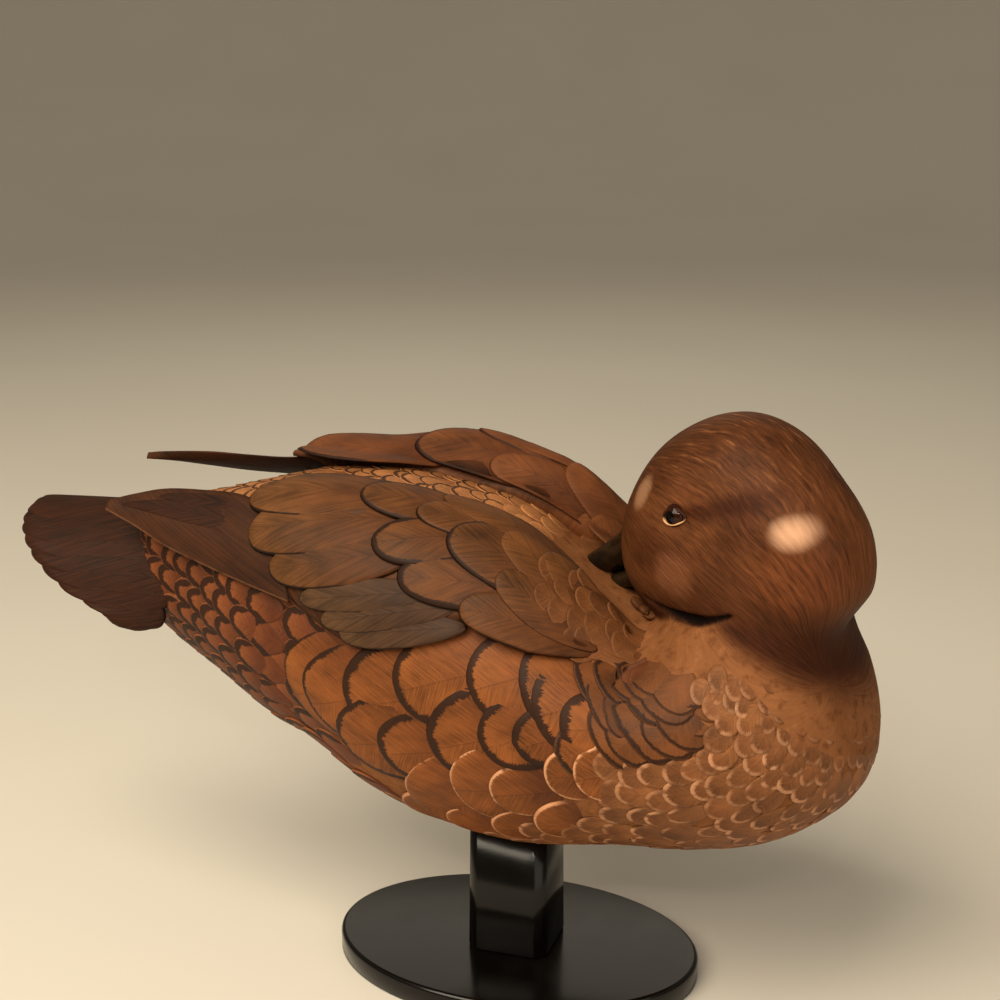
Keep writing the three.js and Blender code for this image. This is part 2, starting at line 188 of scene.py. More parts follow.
# Rows of share of the way from the middle feather to the outer one, root x, tip x.
TAIL_ROWS = np.array([
    [0, -128, -213], [0.35, -130, -210], [0.6, -132, -200.5], [0.8, -135, -187], [0.92, -138, -175],
    [1, -140, -164],
])


def at(rows, s, column):
    """A table's column at s: a cubic between rows, as steep at each row as the chord of its neighbours."""
    x, y = rows[:, 0], rows[:, column]
    before = np.maximum(np.arange(len(x)) - 1, 0)
    after = np.minimum(np.arange(len(x)) + 1, len(x) - 1)
    slope = (y[after] - y[before]) / (x[after] - x[before])
    i = np.clip(np.searchsorted(x, s, side="right") - 1, 0, len(x) - 2)
    span = x[i + 1] - x[i]
    return cubic(np.clip((s - x[i]) / span, 0, 1), y[i], y[i + 1], slope[i] * span, slope[i + 1] * span)


def cubic(t, start, end, slope_start, slope_end):
    """The cubic with these values and slopes at t = 0 and t = 1."""
    square, cube = t * t, t * t * t
    value = (2 * cube - 3 * square + 1) * start + (3 * square - 2 * cube) * end
    return value + (cube - 2 * square + t) * slope_start + (cube - square) * slope_end


def smooth(value, low, high):
    """0 below low, 1 above high, and 3t^2 - 2t^3 between."""
    t = np.clip((value - low) / (high - low), 0, 1)
    return t * t * (3 - 2 * t)


def fuller(value, fullness):
    """A circle's sine or cosine turned into that of a superellipse with this exponent."""
    return np.sign(value) * np.abs(value) ** (2 / fullness)


def unit(vectors):
    """The vectors, brought to length one."""
    return vectors / np.maximum(np.linalg.norm(vectors, axis=-1, keepdims=True), 1e-9)


def half_turn(psi):
    """The same angle, brought between -180 and 180 degrees."""
    return (psi + 180) % 360 - 180


def body(s, psi):
    """The carved trunk and neck. s follows the lie of the feathers; psi runs round, 0 at the belly.

    Up to s = 100 the sections fan round the hinge line; from there they stand upright and move back.
    """
    s, psi = np.broadcast_arrays(np.asarray(s, float), np.asarray(psi, float))
    fan = FAN_START - np.minimum(s, FAN_LENGTH) / FAN_LENGTH * (FAN_START + np.pi / 2)
    belly, back, half, widest = (at(BODY_ROWS, s, column) for column in (1, 2, 3, 4))
    down = fuller(np.cos(np.radians(psi)), BODY_FULLNESS)
    radius = widest + np.where(down < 0, widest - back, belly - widest) * down
    lean = NECK_LEAN * (1 - smooth(s, 0, NECK_LENGTH))
    x = HINGE_X - np.maximum(s - FAN_LENGTH, 0) + radius * np.cos(fan)
    y = half * fuller(np.sin(np.radians(psi)), BODY_FULLNESS) + lean
    return np.stack([x, y, HINGE_Z + radius * np.sin(fan)], -1)


def on_body(s, psi, lift):
    """The point at a height over the body, along its outward normal."""
    along = body(s + 1, psi) - body(s - 1, psi)
    across = body(s, psi + 1) - body(s, psi - 1)
    return body(s, psi) + unit(np.cross(along, across)) * np.asarray(lift)[..., None]


def wing_height(rows, s, psi):
    """Height of a folded wing over the body: cubics through the four lifts across it."""
    low, high = at(rows, s, 1), at(rows, s, 2)
    share = np.clip((np.abs(psi) - low) / (high - low), 0, 1)
    lifts = [at(rows, s, 3 + k) for k in range(4)]
    slopes = []
    for k in range(4):
        a, b = max(k - 1, 0), min(k + 1, 3)
        slopes.append((lifts[b] - lifts[a]) / (LIFT_PLACES[b] - LIFT_PLACES[a]))
    height = lifts[0]
    for k in range(3):
        span = LIFT_PLACES[k + 1] - LIFT_PLACES[k]
        t = np.clip((share - LIFT_PLACES[k]) / span, 0, 1)
        value = cubic(t, lifts[k], lifts[k + 1], slopes[k] * span, slopes[k + 1] * span)
        height = np.where(share >= LIFT_PLACES[k], value, height)
    return height


def mantle_height(rows, s, psi):
    """The same height, but it falls to nothing round the wing's front end."""
    beyond = np.maximum(at(rows, s, 1) - np.abs(psi), np.abs(psi) - at(rows, s, 2))
    return wing_height(rows, s, psi) * (1 - smooth(beyond, -5, 6)) * smooth(s, 94, 112)


def over_body(height, rows):
    """The place function of a wing's outer face, height(rows, s, psi) over the body."""
    return lambda s, psi, lift: on_body(s, psi, height(rows, s, psi) + lift)


on_wing_right = over_body(wing_height, WING_RIGHT_ROWS)
on_wing_left = over_body(wing_height, WING_LEFT_ROWS)


def in_head(ahead, left, up):
    """A point from distances ahead of the head's centre, to the head's own left, and up."""
    return np.stack([
        HEAD_X - ahead * np.cos(HEAD_TURN) - left * np.sin(HEAD_TURN),
        HEAD_Y + ahead * np.sin(HEAD_TURN) - left * np.cos(HEAD_TURN),
        HEAD_Z + up + 0 * ahead,
    ], -1)


def from_head(points):
    """The other way round: distances ahead, left and up of points near the head."""
    x, y = points[..., 0] - HEAD_X, points[..., 1] - HEAD_Y
    ahead = -x * np.cos(HEAD_TURN) + y * np.sin(HEAD_TURN)
    left = -x * np.sin(HEAD_TURN) - y * np.cos(HEAD_TURN)
    return ahead, left, points[..., 2] - HEAD_Z


def swept(left):
    """How far a head section lies back at this distance from the middle plane."""
    return HEAD_SWEEP * (np.hypot(left, SWEEP_SOFT) - SWEEP_SOFT)


def head_half(ahead, up):
    """Distance of the head's side from its middle plane."""
    crown, throat, half = (at(HEAD_ROWS, ahead, column) for column in (1, 2, 3))
    height = (up - (crown + throat) / 2) / ((crown - throat) / 2)
    return half * (1 - np.abs(height) ** HEAD_FULLNESS) ** (1 / HEAD_FULLNESS)


EYE_PLACE = float(EYE_AHEAD - swept(head_half(EYE_AHEAD, EYE_UP)))


def curve(points, share):
    """A smooth curve through the points, share 0 at the first and 1 at the last."""
    rows = np.column_stack([np.linspace(0, 1, len(points)), points])
    return np.stack([at(rows, share, column) for column in (1, 2, 3)], -1)


def on_tip(upper, lower, side):
    """The outer face of a folded wing tip, as a function of along, across and lift.

    along and across are percents of the way to the tip and from the lower edge to the upper one. The
    face bulges by a sine of the way across.
    """
    def place(along, across, lift):
        share, up = np.broadcast_arrays(along / 100, across / 100)
        start = curve(lower, share)
        chord = curve(upper, share) - start
        step = curve(upper, np.minimum(share + 0.01, 1)) - curve(upper, np.minimum(share + 0.01, 1) - 0.02)
        out = unit(np.cross(chord, step)) * side
        bulge = TIP_CAMBER * np.linalg.norm(chord, axis=-1) * np.sin(np.clip(up, 0, 1) * np.pi)
        point = start + chord * up[..., None] + out * (lift + bulge)[..., None]
        return point + np.array([0, 0, RAISE])
    return place


def on_tail(along, arch, lift):
    """The tail's upper face. along is a percent of the way to the tip, arch degrees from the middle."""
    along, arch = np.broadcast_arrays(np.asarray(along, float), np.asarray(arch, float))
    out = np.abs(arch) / TAIL_ARCH
    root, tip = at(TAIL_ROWS, out, 1), at(TAIL_ROWS, out, 2)
    x = root + (tip - root) * along / 100
    sine, cosine = np.sin(np.radians(arch)), np.cos(np.radians(arch))
    width = TAIL_HALF_WIDTH * (TAIL_ROOT_WIDTH + (1 - TAIL_ROOT_WIDTH) * along / 100) + lift
    drop = TAIL_DROP * (TAIL_ROOT_DROP + (1 - TAIL_ROOT_DROP) * along / 100)
    z = TAIL_TOP + (x - root) * TAIL_FALL - drop * (1 - cosine) + lift * cosine
    return np.stack([x, width * sine, z], -1)


# ---------------------------------------------------------------- meshes

def make_piece(name, points, polygons, paint, slot, replaces=(), attributes=None, loop_uv=None):
    """A piece from points (n, 3) in millimetres and index arrays (m, k) of its k-sided polygons."""
    mesh = bpy.data.meshes.new(name)
    mesh.vertices.add(len(points))
    mesh.vertices.foreach_set("co", (np.asarray(points) * MM).astype(np.float32).ravel())
    corners = np.concatenate([p.ravel() for p in polygons])
    sizes = np.concatenate([np.full(len(p), p.shape[1]) for p in polygons])
    mesh.loops.add(len(corners))
    mesh.loops.foreach_set("vertex_index", corners.astype(np.int32))
    mesh.polygons.add(len(sizes))
    starts = np.concatenate([[0], np.cumsum(sizes)[:-1]])
    mesh.polygons.foreach_set("loop_start", starts.astype(np.int32))
    mesh.polygons.foreach_set("use_smooth", np.ones(len(sizes), bool))
    for key, values in (attributes or {}).items():
        layer = mesh.attributes.new(key, "FLOAT_VECTOR", "POINT")
        layer.data.foreach_set("vector", values.astype(np.float32).ravel())
    if loop_uv is not None:
        layer = mesh.uv_layers.new(name="OFBake")
        layer.data.foreach_set("uv", loop_uv.astype(np.float32).ravel())
    mesh.update(calc_edges=True)
    mesh.materials.append(paint)
    piece = bpy.data.objects.new(name, mesh)
    bpy.context.scene.collection.objects.link(piece)
    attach(piece, "root")
    if replaces:
        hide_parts(*replaces)
    return piece


def tube(rings):
    """Points and polygons of a closed form through rings (m, n, 3), with a fan at each end."""
    count, around = rings.shape[:2]
    points = np.concatenate([rings.reshape(-1, 3), rings[[0, -1]].mean(1)])
    here = np.arange((count - 1) * around).reshape(count - 1, around)
    beside = np.roll(here, -1, 1)
    walls = np.stack([here, beside, beside + around, here + around], -1).reshape(-1, 4)
    first, last = np.arange(around), np.arange(around) + (count - 1) * around
    start = np.stack([np.full(around, count * around), np.roll(first, -1), first], -1)
    end = np.stack([np.full(around, count * around + 1), last, np.roll(last, -1)], -1)
    return points, [walls, start, end]


def painted(shape, **layers):
    """Attributes of a tube: each layer is three pairs of a grid over its rings and a value at both ends."""
    def column(grid, end):
        """The grid in one row, then the value at both ends."""
        return np.append(np.broadcast_to(grid, shape).ravel(), [end, end])
    return {key: np.stack([column(*pair) for pair in pairs], -1) for key, pairs in layers.items()}


def volume(points, polygons):
    """Six times the volume, with each polygon fanned from its first corner."""
    total = 0.0
    for p in polygons:
        for k in range(1, p.shape[1] - 1):
            a, b, c = points[p[:, 0]], points[p[:, k]], points[p[:, k + 1]]
            total += np.einsum("ij,ij->i", a, np.cross(b, c)).sum()
    return total


def facing_out(points, polygons):
    """The same form with its faces turned outwards."""
    if volume(points, polygons) < 0:
        return points, [p[:, ::-1] for p in polygons]
    return points, polygons


# Rings of a vane, from the foot of its edge to near its middle.
RING_REACH = np.array([1, 0.965, 0.84, 0.62, 0.34])
RING_PATCH = np.array([1, 0.9, 0.76, 0.55, 0.3])  # the same rings on the vane's patch of the bake map
HEEL = 0.5  # share of a vane's length behind its middle


def pace(place, p, q, lift=0.0):
    """Millimetres of surface for one unit of p, and for one unit of q."""
    lift = lift + 0 * p
    along = place(p + 0.5, q, lift) - place(p - 0.5, q, lift)
    across = place(p, q + 0.5, lift) - place(p, q - 0.5, lift)
    return np.linalg.norm(along, axis=-1), np.linalg.norm(across, axis=-1)


def vanes(place, p, q, length, width, turn=0.0, low=-1.3, high=-0.1, rise=1.3, crown=0.3, drop=0.8,
          sides=18, tip=2.2, taper=0.35, band=1.0, rim=1.0, shade=0.0, seed=0):
    """Feathers on the surface place(p, q, lift): p follows their lie, and turn (degrees) leans them to +q.

    A vane is a stack of rings. Its outline is a superellipse, narrowed towards the root by taper. Its
    height goes from low at the root to high at the tip, plus crown times 1 - r^2, and its edge stands
    drop over the ring at its foot. A fan to a point under the middle closes the foot.
    """
    given = (p, q, length, width, turn, low, high, band, rim, shade)
    given = np.broadcast_arrays(*(np.atleast_1d(np.asarray(v, float)) for v in given))
    p, q, length, width, turn, low, high, band, rim, shade = given
    count = len(p)
    chance = np.random.default_rng(SEED + seed).random(count)
    spin = np.pi + 2 * np.pi * np.arange(sides) / sides
    cosine, sine = np.cos(spin), np.sin(spin)
    ahead = np.where(cosine > 0, (1 - HEEL) * fuller(cosine, tip), HEEL * cosine)
    beside = 0.5 * fuller(sine, 2.2) * (1 - taper * np.clip(-ahead / HEEL, 0, 1))
    pole = lambda grid, under=0.0: np.append(grid.ravel(), [0.0, under])
    a = pole(RING_REACH[:, None] * ahead)
    b = pole(RING_REACH[:, None] * beside)
    reach = pole(np.repeat(RING_REACH[:, None], sides, 1), 1.0)
    foot = pole(np.repeat((np.arange(len(RING_REACH)) == 0)[:, None] * 1.0, sides, 1), 1.0)
    column = lambda v: v[:, None]
    lift = column(low) + column(high - low) * (a + HEEL) ** rise + crown * (1 - reach**2) - drop * foot
    u, v = a * column(length), b * column(width)
    lean = np.radians(column(turn))
    along, across = u * np.cos(lean) - v * np.sin(lean), u * np.sin(lean) + v * np.cos(lean)
    to_p, to_q = column(p) + 0 * along, column(q) + 0 * across
    for _ in range(2):
        per_p, per_q = pace(place, (column(p) + to_p) / 2, (column(q) + to_q) / 2, lift)
        to_p = column(p) + along / np.maximum(per_p, 0.2)
        to_q = column(q) + across / np.maximum(per_q, 0.2)
    points = place(to_p, to_q, lift)
    whole = lambda row: pole(np.repeat(row[None], len(RING_REACH), 0))
    edge = (1 - reach) * np.hypot(whole(ahead) * column(length), whole(beside) * column(width))
    edge[:, -2:] = 0.35 * np.minimum(length, width)[:, None]
    outline = whole(spin - 2 * np.pi) * column(np.sqrt(length * width)) / 2
    full = lambda v: np.broadcast_to(v, points.shape[:2])
    corner = np.stack([full(v), full(u + HEEL * column(length)), full(edge)], -1)
    dye = np.stack([full(column(chance)), full(outline), full(column(length))], -1)
    tone = np.stack([full(column(band)), full(column(rim)), full(column(shade))], -1)
    patch = np.stack([pole(RING_PATCH[:, None] * beside * 2), pole(RING_PATCH[:, None] * ahead * 2)], -1)
    across_p = place(p + 0.5, q, 0 * p) - place(p - 0.5, q, 0 * p)
    across_q = place(p, q + 0.5, 0 * p) - place(p, q - 0.5, 0 * p)
    outward = place(p, q, 0 * p + 1) - place(p, q, 0 * p)
    flip = np.einsum("ij,ij->i", np.cross(across_p, across_q), outward)[0] < 0
    return {"points": points, "vane": corner, "dye": dye, "tone": tone, "patch": patch,
            "root": np.stack([p, q], -1), "sides": sides, "flip": flip}


def coat(name, sets, paint, slot, replaces=()):
    """One piece from sets of vanes. Each vane has its own square of the bake map, placed by its root."""
    roots = np.concatenate([s["root"] for s in sets])
    across = int(np.ceil(np.sqrt(len(roots))))
    rank = np.empty(len(roots), int)
    rank[np.argsort(roots[:, 0], kind="stable")] = np.arange(len(roots))
    row = rank // across
    order = np.lexsort((roots[:, 1], row))
    place_in_row = np.empty(len(roots), int)
    place_in_row[order] = np.arange(len(roots)) - row[order] * across
    cell = np.stack([place_in_row, row], -1) / across
    points, polygons, loop_uv = [], [[], [], []], [[], [], []]
    offset = done = 0
    for s in sets:
        count, per = s["points"].shape[:2]
        sides = s["sides"]
        rings = len(RING_REACH)
        ring = np.arange(sides)
        beside = np.roll(ring, -1)
        here = (np.arange(rings - 1)[:, None] * sides + ring).ravel()
        over = (np.arange(rings - 1)[:, None] * sides + beside).ravel()
        quads = np.stack([here, over, over + sides, here + sides], -1)
        middle = np.full(sides, rings * sides)
        fans = np.stack([ring + (rings - 1) * sides, beside + (rings - 1) * sides, middle], -1)
        feet = np.stack([beside, ring, middle + 1], -1)
        spokes = np.stack([beside, ring, np.full(sides, sides)], -1)
        if s["flip"]:
            quads, fans, feet, spokes = quads[:, ::-1], fans[:, ::-1], feet[:, ::-1], spokes[:, ::-1]
        shift = offset + np.arange(count)[:, None, None] * per
        corner = cell[done:done + count, None]
        uv = corner + (0.53 + 0.44 * s["patch"]) / across
        spin = 2 * np.pi * ring / sides * (1 if s["flip"] else -1)
        circle = np.append(np.stack([np.cos(spin), np.sin(spin)], -1), [[0, 0]], 0)
        small = corner + (0.055 + 0.035 * circle[spokes.ravel()]) / across
        for k, faces in enumerate((quads, fans, feet)):
            polygons[k].append((faces + shift).reshape(-1, faces.shape[1]))
            loop_uv[k].append((small if k == 2 else uv[:, faces.ravel()]).reshape(-1, 2))
        points.append(s["points"].reshape(-1, 3))
        offset += count * per
        done += count
    uvs = np.concatenate(sum(loop_uv, []))
    attributes = {}
    for key in ("vane", "dye", "tone"):
        attributes[key] = np.concatenate([s[key].reshape(-1, 3) for s in sets])
    points, polygons = np.concatenate(points), sum(polygons, [])
    return make_piece(name, points, polygons, paint, slot, replaces, attributes, uvs)


# ---------------------------------------------------------------- paints

def srgb(*channels):
    """A colour given as 0 to 255 on a screen, as the linear values that a shader takes."""
    value = np.array(channels) / 255
    linear = np.where(value <= 0.04045, value / 12.92, ((value + 0.055) / 1.055) ** 2.4)
    return (*linear.tolist(), 1.0)


class Brush:
    """Lays out the nodes of one paint on the way to its shader."""

    def __init__(self, name, roughness=0.4, coat_weight=0.0, coat_roughness=0.2, shine=0.2):
        self.material = bpy.data.materials.new(name)
        self.material.use_nodes = True
        self.tree = self.material.node_tree
        self.shader = self.tree.nodes["Principled BSDF"]
        self.shader.inputs["Roughness"].default_value = roughness
        self.shader.inputs["Specular IOR Level"].default_value = shine
        self.shader.inputs["Coat Weight"].default_value = coat_weight
        self.shader.inputs["Coat Roughness"].default_value = coat_roughness

    def put(self, kind, inputs, output=0, **settings):
        """A new node with its inputs fed and its settings set. Returns one of its outputs."""
        node = self.tree.nodes.new(kind)
        for key, value in settings.items():
            setattr(node, key, value)
        for key, value in inputs.items():
            self.feed(node.inputs[key], value)
        return node.outputs[output]

    def feed(self, socket, value):
        """Links a node's output to the socket, or sets the socket to a plain value."""
        if isinstance(value, bpy.types.NodeSocket):
            self.tree.links.new(value, socket)
        else:
            socket.default_value = value

    def math(self, operation, a, b=0.0, c=0.0):
        """A Math node; the methods after it are its usual sums."""
        return self.put("ShaderNodeMath", {0: a, 1: b, 2: c}, operation=operation)

    def plus(self, a, b):
        return self.math("ADD", a, b)

    def minus(self, a, b):
        return self.math("SUBTRACT", a, b)

    def times(self, a, b):
        return self.math("MULTIPLY", a, b)

    def over(self, a, b):
        return self.math("DIVIDE", a, b)

    def scaled(self, value, factor, offset):
        """The value times the factor, plus the offset."""
        return self.math("MULTIPLY_ADD", value, factor, offset)

    def square(self, value):
        return self.times(value, value)

    def step(self, value, low, high, start=0.0, end=1.0):
        """start below low, end above high, with a smooth step between."""
        inputs = {"Value": value, "From Min": low, "From Max": high, "To Min": start, "To Max": end}
        return self.put("ShaderNodeMapRange", inputs, interpolation_type="SMOOTHSTEP")

    def mix(self, share, a, b, blend="MIX"):
        """Colour a turned into b by the share."""
        return self.put("ShaderNodeMix", {0: share, 6: a, 7: b}, 2, data_type="RGBA", blend_type=blend)

    def vector(self, x, y, z):
        """Three values as one place for a pattern."""
        return self.put("ShaderNodeCombineXYZ", {0: x, 1: y, 2: z})

    def noise(self, vector, scale, detail=2.0, roughness=0.5):
        """Cloudy noise about one half, with scale clouds to a unit of the vector."""
        inputs = {"Vector": vector, "Scale": scale, "Detail": detail, "Roughness": roughness}
        return self.put("ShaderNodeTexNoise", inputs)

    def attribute(self, name):
        """The three parts of an attribute of the mesh."""
        vector = self.put("ShaderNodeAttribute", {}, "Vector", attribute_name=name)
        node = self.tree.nodes.new("ShaderNodeSeparateXYZ")
        self.tree.links.new(vector, node.inputs[0])
        return node.outputs[0], node.outputs[1], node.outputs[2]

    def place(self):
        """Object coordinates."""
        return self.put("ShaderNodeTexCoord", {}, "Object")

    def finish(self, colour, height=None, strength=0.5, distance=0.0003, roughness=None):
        """Feeds the shader: colour, a bump from the height, and the roughness. Returns the material."""
        self.feed(self.shader.inputs["Base Color"], colour)
        if roughness is not None:
            self.feed(self.shader.inputs["Roughness"], roughness)
        if height is not None:
            bump = self.put("ShaderNodeBump", {"Strength": strength, "Distance": distance, "Height": height},
                            "Normal")
            self.feed(self.shader.inputs["Normal"], bump)
        return self.material


def feather_paint(name, ground, root, dark, pale, band_width=2.0, rim_width=1.2, band_inset=0.0,
                  rim_inset=0.0, teeth=0.8, streaks=0.35, barb=1.6, slant=0.9, shaft=0.3,
                  gloss=0.56, rim_reach=0.45, band_reach=0.35, patchy=0.7, breaks=0.37):
    """Paint of one tract of feathers.

    Each vane goes from the root colour to the ground colour along its length, with streaks along its
    barbs. A dark band with a toothed inner side follows its tip, and a pale, bristly rim lies on the
    edge, with breaks; both may be inset from it. The tone attribute says how strong band and rim are on
    each vane, and lightens or darkens it.
    """
    b = Brush(name, gloss, 0.02, 0.35, 0.14)
    x, y, edge = b.attribute("vane")
    chance, arc, length = b.attribute("dye")
    band, rim, shade = b.attribute("tone")
    side = b.math("ABSOLUTE", x)
    seed = b.times(chance, 37.0)
    share = b.over(y, length)
    barbs = b.minus(y, b.times(side, slant))
    streak = b.noise(b.vector(b.times(barbs, barb), b.times(side, 0.14), seed), 1.0, 3.0)
    broad = b.noise(b.vector(b.times(x, 0.12), b.times(y, 0.06), seed), 1.0, 2.0)
    bristle = b.noise(b.vector(b.times(arc, 2.2), seed, b.times(edge, 0.2)), 1.0, 2.0, 0.6)
    wave = b.noise(b.vector(b.times(arc, 0.2), seed, 0.0), 1.0, 1.0)
    where = b.place()
    weather = b.noise(where, 28.0, 3.0)
    grain = b.noise(where, 1500.0, 2.0)
    colour = b.mix(b.step(share, 0.25, 0.95), root, ground)
    worn = b.scaled(b.minus(streak, 0.5), streaks * 2.4, 1.0)
    worn = b.scaled(b.minus(broad, 0.5), patchy, worn)
    worn = b.scaled(b.minus(weather, 0.5), 0.7, worn)
    worn = b.scaled(b.minus(grain, 0.5), 0.3, worn)
    worn = b.scaled(b.minus(chance, 0.5), 0.2, worn)
    worn = b.plus(worn, shade)
    colour = b.mix(1.0, colour, b.vector(worn, worn, worn), "MULTIPLY")
    colour = b.mix(b.step(side, 0.1, 0.45, shaft, 0.0), colour, dark)
    tipward = b.step(share, band_reach, band_reach + 0.3)
    reach = b.times(b.times(band_width, band), tipward)
    reach = b.times(reach, b.scaled(wave, 0.9, 0.55))
    inner = b.scaled(reach, b.scaled(bristle, teeth * 2, 1 - teeth), band_inset)
    darkness = b.step(b.minus(edge, inner), -0.3, 0.35, 1.0, 0.0)
    darkness = b.times(darkness, b.step(reach, 0.05, 0.4))
    if band_inset:
        darkness = b.times(darkness, b.step(edge, band_inset * 0.4, band_inset * 1.2))
    colour = b.mix(b.times(darkness, 0.94), colour, dark)
    inside_rim = b.minus(edge, rim_inset)
    rim_edge = b.times(rim_width, b.scaled(bristle, 1.3, 0.3))
    paleness = b.times(b.step(share, rim_reach, rim_reach + 0.3), b.math("MINIMUM", rim, 1.0))
    paleness = b.times(paleness, b.step(b.minus(inside_rim, rim_edge), -0.6, 0.3, 1.0, 0.0))
    paleness = b.times(paleness, b.step(wave, breaks - 0.09, breaks + 0.09, 0.1, 1.0))
    if rim_inset:
        paleness = b.times(paleness, b.step(inside_rim, -0.3, 0.15))
    colour = b.mix(b.times(paleness, 0.85), colour, pale)
    height = b.scaled(b.step(side, 0.0, 0.6, 0.6, 0.0), 1.0, streak)
    height = b.scaled(grain, 0.25, height)
    rough = b.scaled(broad, 0.3, gloss - 0.12)
    return b.finish(colour, height, 0.4, 0.0003, rough)


BARK = srgb(44, 20, 9)
PINK = srgb(206, 148, 108)
breast_paint = feather_paint("breast_paint", srgb(102, 61, 33), srgb(121, 76, 43), BARK, srgb(184, 133, 97),
                             0.8, 1.7, rim_inset=0.15, teeth=0.5, streaks=0.45, rim_reach=0.55, shaft=0.05,
                             patchy=1.3, breaks=0.44)
flank_paint = feather_paint("flank_paint", srgb(120, 68, 30), srgb(85, 44, 19), srgb(34, 18, 9), PINK,
                            3.4, 1.3, teeth=0.6, streaks=0.6, shaft=0.2, patchy=1.2)
shoulder_paint = feather_paint("shoulder_paint", srgb(92, 52, 23), srgb(95, 55, 27), srgb(36, 17, 7),
                               srgb(128, 78, 43), 2.5, 0.7, teeth=0.4, streaks=0.3, shaft=0.0, patchy=1.4)
rump_paint = feather_paint("rump_paint", srgb(120, 67, 35), srgb(87, 44, 23), srgb(34, 17, 9),
                           srgb(150, 92, 58), 3.0, 0.7, band_inset=0.5, teeth=0.35, streaks=0.4, shaft=0.1)
back_paint = feather_paint("back_paint", srgb(154, 101, 60), srgb(140, 90, 52), srgb(48, 26, 12),
                           srgb(158, 106, 66), 2.0, 0.6, band_inset=0.4, streaks=0.45, shaft=0.05,
                           patchy=1.1)
mantle_paint = feather_paint("mantle_paint", srgb(89, 52, 25), srgb(104, 62, 33), BARK, srgb(126, 82, 49),
                             0.5, 0.7, streaks=0.4, patchy=1.2, shaft=0.05)
covert_paint = feather_paint("covert_paint", srgb(85, 50, 22), srgb(75, 41, 17), srgb(32, 16, 8),
                             srgb(117, 76, 41), 1.7, 0.6, teeth=0.3, streaks=0.6, slant=2.0, barb=0.7,
                             patchy=1.4, shaft=0.1)
tertial_paint = feather_paint("tertial_paint", srgb(90, 56, 28), srgb(74, 42, 19), srgb(26, 13, 7),
                              srgb(122, 81, 47), 1.4, 0.6, teeth=0.2, streaks=0.6, slant=3.0, barb=0.45,
                              patchy=1.5, shaft=0.1)
secondary_paint = feather_paint("secondary_paint", srgb(70, 48, 29), srgb(55, 35, 21), srgb(24, 13, 8),
                                srgb(104, 73, 47), 1.0, 0.7, teeth=0.2, streaks=0.7, slant=3.0, barb=0.5,
                                patchy=1.1, shaft=0.15)
rufous_paint = feather_paint("rufous_paint", srgb(95, 53, 26), srgb(79, 41, 17), srgb(32, 15, 8),
                             srgb(126, 76, 40), 1.5, 0.6, teeth=0.3, streaks=0.5, slant=1.6, patchy=1.5,
                             shaft=0.1)
flight_paint = feather_paint("flight_paint", srgb(46, 21, 7), srgb(43, 21, 9), srgb(20, 10, 5),
                             srgb(82, 47, 23), 0.8, 0.7, gloss=0.72, teeth=0.3, streaks=1.1, slant=3.0,
                             barb=0.7, rim_reach=0.3, shaft=0.2)
blade_paint = feather_paint("blade_paint", srgb(59, 31, 13), srgb(52, 26, 10), srgb(24, 12, 7),
                            srgb(101, 66, 42), 0.6, 0.8, gloss=0.66, teeth=0.3, streaks=0.7, slant=3.0,
                            barb=0.5, rim_reach=-0.4, shaft=0.0, patchy=1.2)


